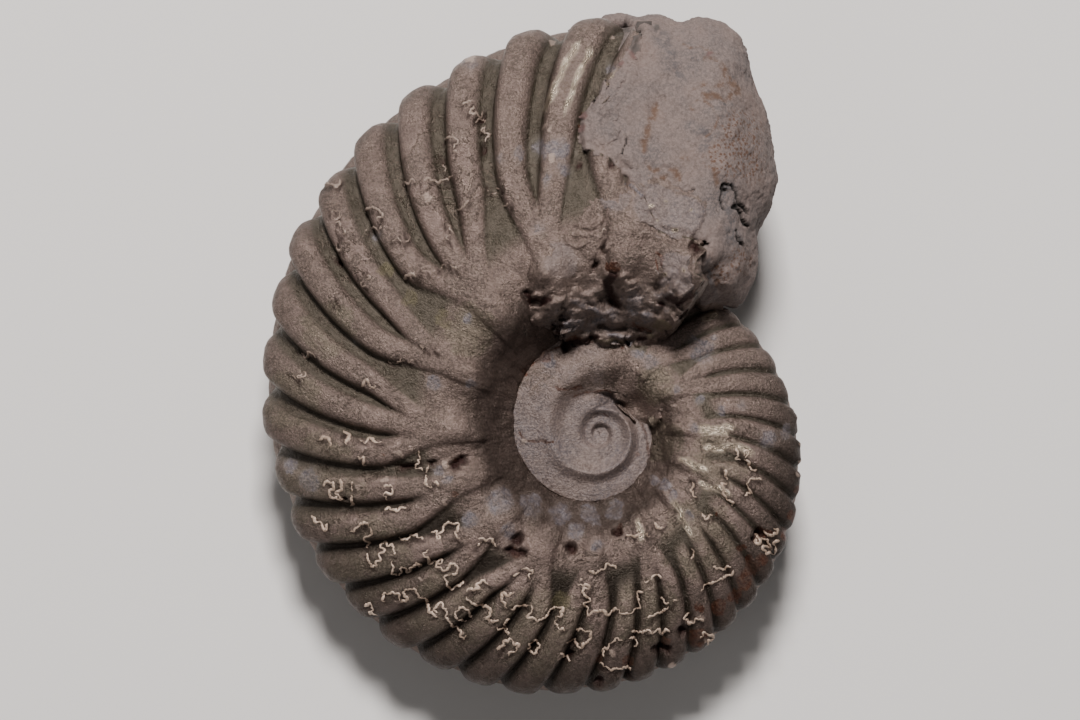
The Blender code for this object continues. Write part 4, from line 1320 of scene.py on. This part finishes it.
# A lump's middle and half sizes are in the photograph's pixels, as are a ridge's line and half width.
# Heights are in millimetres, scaled by CRUST_RELIEF. The last word is the finish, or painted shade.
CRUST_LUMPS = (
    (541, 275, 14, 15, 0.85, "pale"),
    (622, 277, 9, 4, 0.45, "pale"),
    (631, 284, 8, 4, 0.50, "pale"),
    (617, 290, 8, 4, 0.55, "pale"),
    (629, 292, 6, 3, 0.40, "pale"),
    (634, 304, 11, 18, 0.70, "tarnish"),
    (647, 318, 9, 8, 0.50, "tarnish"),
    (574, 324, 16, 9, 0.60, "tarnish"),
    (597, 321, 10, 6, 0.40, "tarnish"),
    (614, 312, 10, 8, 0.40, "tarnish"),
    (662, 326, 14, 9, 0.45, "olive"),
    (652, 336, 8, 5, 0.20, "olive"),
    (668, 275, 7, 7, 0.55, "fill"),
    (661, 284, 6, 6, 0.45, "fill"),
    (673, 287, 9, 8, 0.60, "fill"),
    (682, 276, 9, 8, 0.50, "fill"),
    (667, 296, 6, 5, 0.40, "fill"),
    (684, 262, 10, 7, 0.35, "fill"),
    (655, 205, 30, 24, 0.10, "fill"),
    (682, 222, 26, 24, 0.20, "fill"),
    (668, 232, 22, 12, 0.20, "fill"),
    (646, 209, 7, 6, 0.30, "fill"),
    (658, 262, 8, 14, 0.00, "rust"),
    (575, 340, 16, 5, 0.00, "rust"),
    (545, 356, 12, 5, 0.00, "rust"),
    (612, 268, 12, 8, 0.00, "rust"),
    (561, 331, 6, 8, -0.60, "pit"),
    (641, 338, 7, 4, -0.50, "pit"),
    (660, 305, 5, 5, -0.60, "pit"),
    (695, 250, 6, 6, -0.60, "pit"),
    (664, 239, 4, 3, -0.40, "pit"),
)
CRUST_RIDGES = (
    (((525, 268), (524, 282), (530, 292)), 4.0, -0.35, "shade"),
    (((527, 292), (531, 302), (541, 303), (548, 300)), 4.4, -0.60, "pit"),
    (((544, 295), (552, 290), (560, 294), (566, 292)), 2.5, 0.22, "pale"),
    (((532, 308), (545, 306), (556, 312), (560, 318)), 2.5, 0.22, "pale"),
    (((540, 315), (550, 313), (557, 318)), 2.0, 0.18, "pale"),
    (((563, 234), (568, 244), (579, 248), (588, 243)), 2.6, 0.34, "pale"),
    (((578, 226), (590, 231), (599, 224)), 2.4, 0.30, "pale"),
    (((572, 236), (584, 237)), 2.0, 0.22, "pale"),
    (((606, 214), (604, 238), (599, 256), (592, 272)), 3.0, -0.45, "shade"),
    (((596, 262), (592, 273)), 3.0, -0.50, "pit"),
    (((612, 275), (607, 285), (610, 296), (617, 304)), 6.0, -0.70, "pit"),
    (((576, 291), (588, 298), (601, 306)), 4.0, 0.45, "pale"),
    (((571, 300), (588, 309), (603, 314)), 3.6, 0.30, "tarnish"),
    (((566, 344), (580, 342), (597, 337)), 3.4, -0.30, "pit"),
    (((600, 326), (612, 331), (626, 328)), 3.0, -0.35, "shade"),
    (((652, 331), (641, 329), (632, 324)), 2.6, -0.25, "rust"),
    (((628, 331), (640, 333), (649, 324)), 3.0, 0.40, "pale"),
    (((600, 341), (618, 342), (640, 347)), 3.6, 0.30, "olive"),
    (((608, 336), (628, 336)), 3.0, 0.25, "tarnish"),
    (((666, 299), (678, 303), (686, 297), (692, 292)), 3.6, -0.50, "pit"),
    (((690, 296), (696, 304), (700, 311)), 2.0, -0.35, "shade"),
    (((640, 226), (652, 232), (667, 241), (681, 247), (690, 250)), 2.6, -0.40, "shade"),
    (((656, 258), (660, 274), (655, 290)), 3.0, -0.35, "shade"),
    (((618, 182), (630, 188), (640, 198)), 2.6, 0.20, "tarnish"),
    (((690, 253), (687, 268), (690, 284), (698, 300)), 2.0, -0.30, "shade"),
)
# Painted highlights: small glints on the crust's crystals, each its middle and radius in pixels.
GLINTS = (
    (650, 207, 3.0), (673, 231, 3.0), (665, 203, 2.0), (690, 212, 2.0), (663, 275, 2.4), (681, 273, 2.0),
    (657, 222, 1.8),
)
CRUST_CORNERS = (512.0, 168.0, 724.0, 358.0)
CRUST_STEP = 1.15
CRUST_RELIEF = 0.50
TALUS_HEIGHT = 1.0 * MM
LEDGES = (-0.26, 0.02, 0.30)

crust, flat, smoothed = lay_sheet("navel_crust", CRUST_CORNERS, CRUST_STEP, (turn, navel, stone), 12)
flat[:, 2] = smoothed
wander = np.stack([grain(flat, 0.7 * MM, 3), grain(flat + 5.0 * MM, 0.7 * MM, 3)], axis=1)
drawn = where_seen(flat) + 2.6 * wander
crust_masks = {name: np.zeros(len(flat)) for name in masks}
flaky = grain(flat * (0.7, 1.3, 1.0) + 2.0 * MM, 1.0 * MM, 4)
lift = 0.06 * MM * grain(flat, 0.42 * MM, 4) + 0.06 * MM * grain(flat, 1.1 * MM, 4)
layered = patches(drawn, CRUST_LAYERED)
slope = smooth_rise(drawn[:, 1], 288.0, 318.0) * (1.0 - smooth_rise(drawn[:, 1], 334.0, 348.0))
slope = slope * smooth_rise(drawn[:, 0], 535.0, 560.0) * (1.0 - smooth_rise(drawn[:, 0], 672.0, 692.0))
for ledge in LEDGES:
    lift += (0.03 + 0.06 * layered) * MM * smooth_rise(flaky, ledge, ledge + 0.08)
    # Painted shade along each ledge's step.
    step = smooth_rise(flaky, ledge - 0.03, ledge) * (1.0 - smooth_rise(flaky, ledge, ledge + 0.03))
    crust_masks["shade"] = np.maximum(crust_masks["shade"], 0.35 * layered * step)
for x, y, wide, high, height, kind in CRUST_LUMPS:
    share = 1.0 - smooth_rise(np.hypot((drawn[:, 0] - x) / wide, (drawn[:, 1] - y) / high), 0.2, 1.1)
    lift += height * MM * share
    crust_masks[kind] = np.maximum(crust_masks[kind], smooth_rise(share, 0.1, 0.6))
for line, half_width, height, kind in CRUST_RIDGES:
    share = strokes(drawn, (line,), half_width)
    lift += height * MM * share
    crust_masks[kind] = np.maximum(crust_masks[kind], smooth_rise(share, 0.2, 0.8))
lift *= CRUST_RELIEF
lift += TALUS_HEIGHT * slope + 0.10 * MM * slope * grain(flat + 9.0 * MM, 1.0 * MM, 4)
crust_masks["pale"] *= 0.50
# Painted light: lighter blue-grey tarnish on the crust's shaded lower wall.
crust_masks["tarnish"] = np.maximum(crust_masks["tarnish"], patches(drawn, CRUST_LIGHTENED_TARNISH) * 0.75)
crust_masks["fill"] = np.maximum(crust_masks["fill"], patches(drawn, CRUST_GRANULAR) * 0.9)
# Painted highlights: the glints take the rubbed bars' bright metal.
crust_masks["worn"] = patches(drawn, GLINTS)
crust_masks["top"] = np.ones(len(flat))
crust_masks["frill"] = np.full(len(flat), 0.3)
area = patches(drawn + 2.0 * wander, CRUST_AREA)
flat[:, 2] += lift * smooth_rise(area, 0.1, 0.8) + (0.34 * smooth_rise(area, 0.05, 0.9) - 0.28) * MM
flat[:, 2] -= 1.2 * MM * (1.0 - smooth_rise(area, 0.0, 0.15))
put_in_place(crust, flat)
keep_masks(crust, crust_masks)
thicken(crust)
crust.data.materials.append(pyrite)
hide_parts("ammonite_cast")
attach(crust, "root")
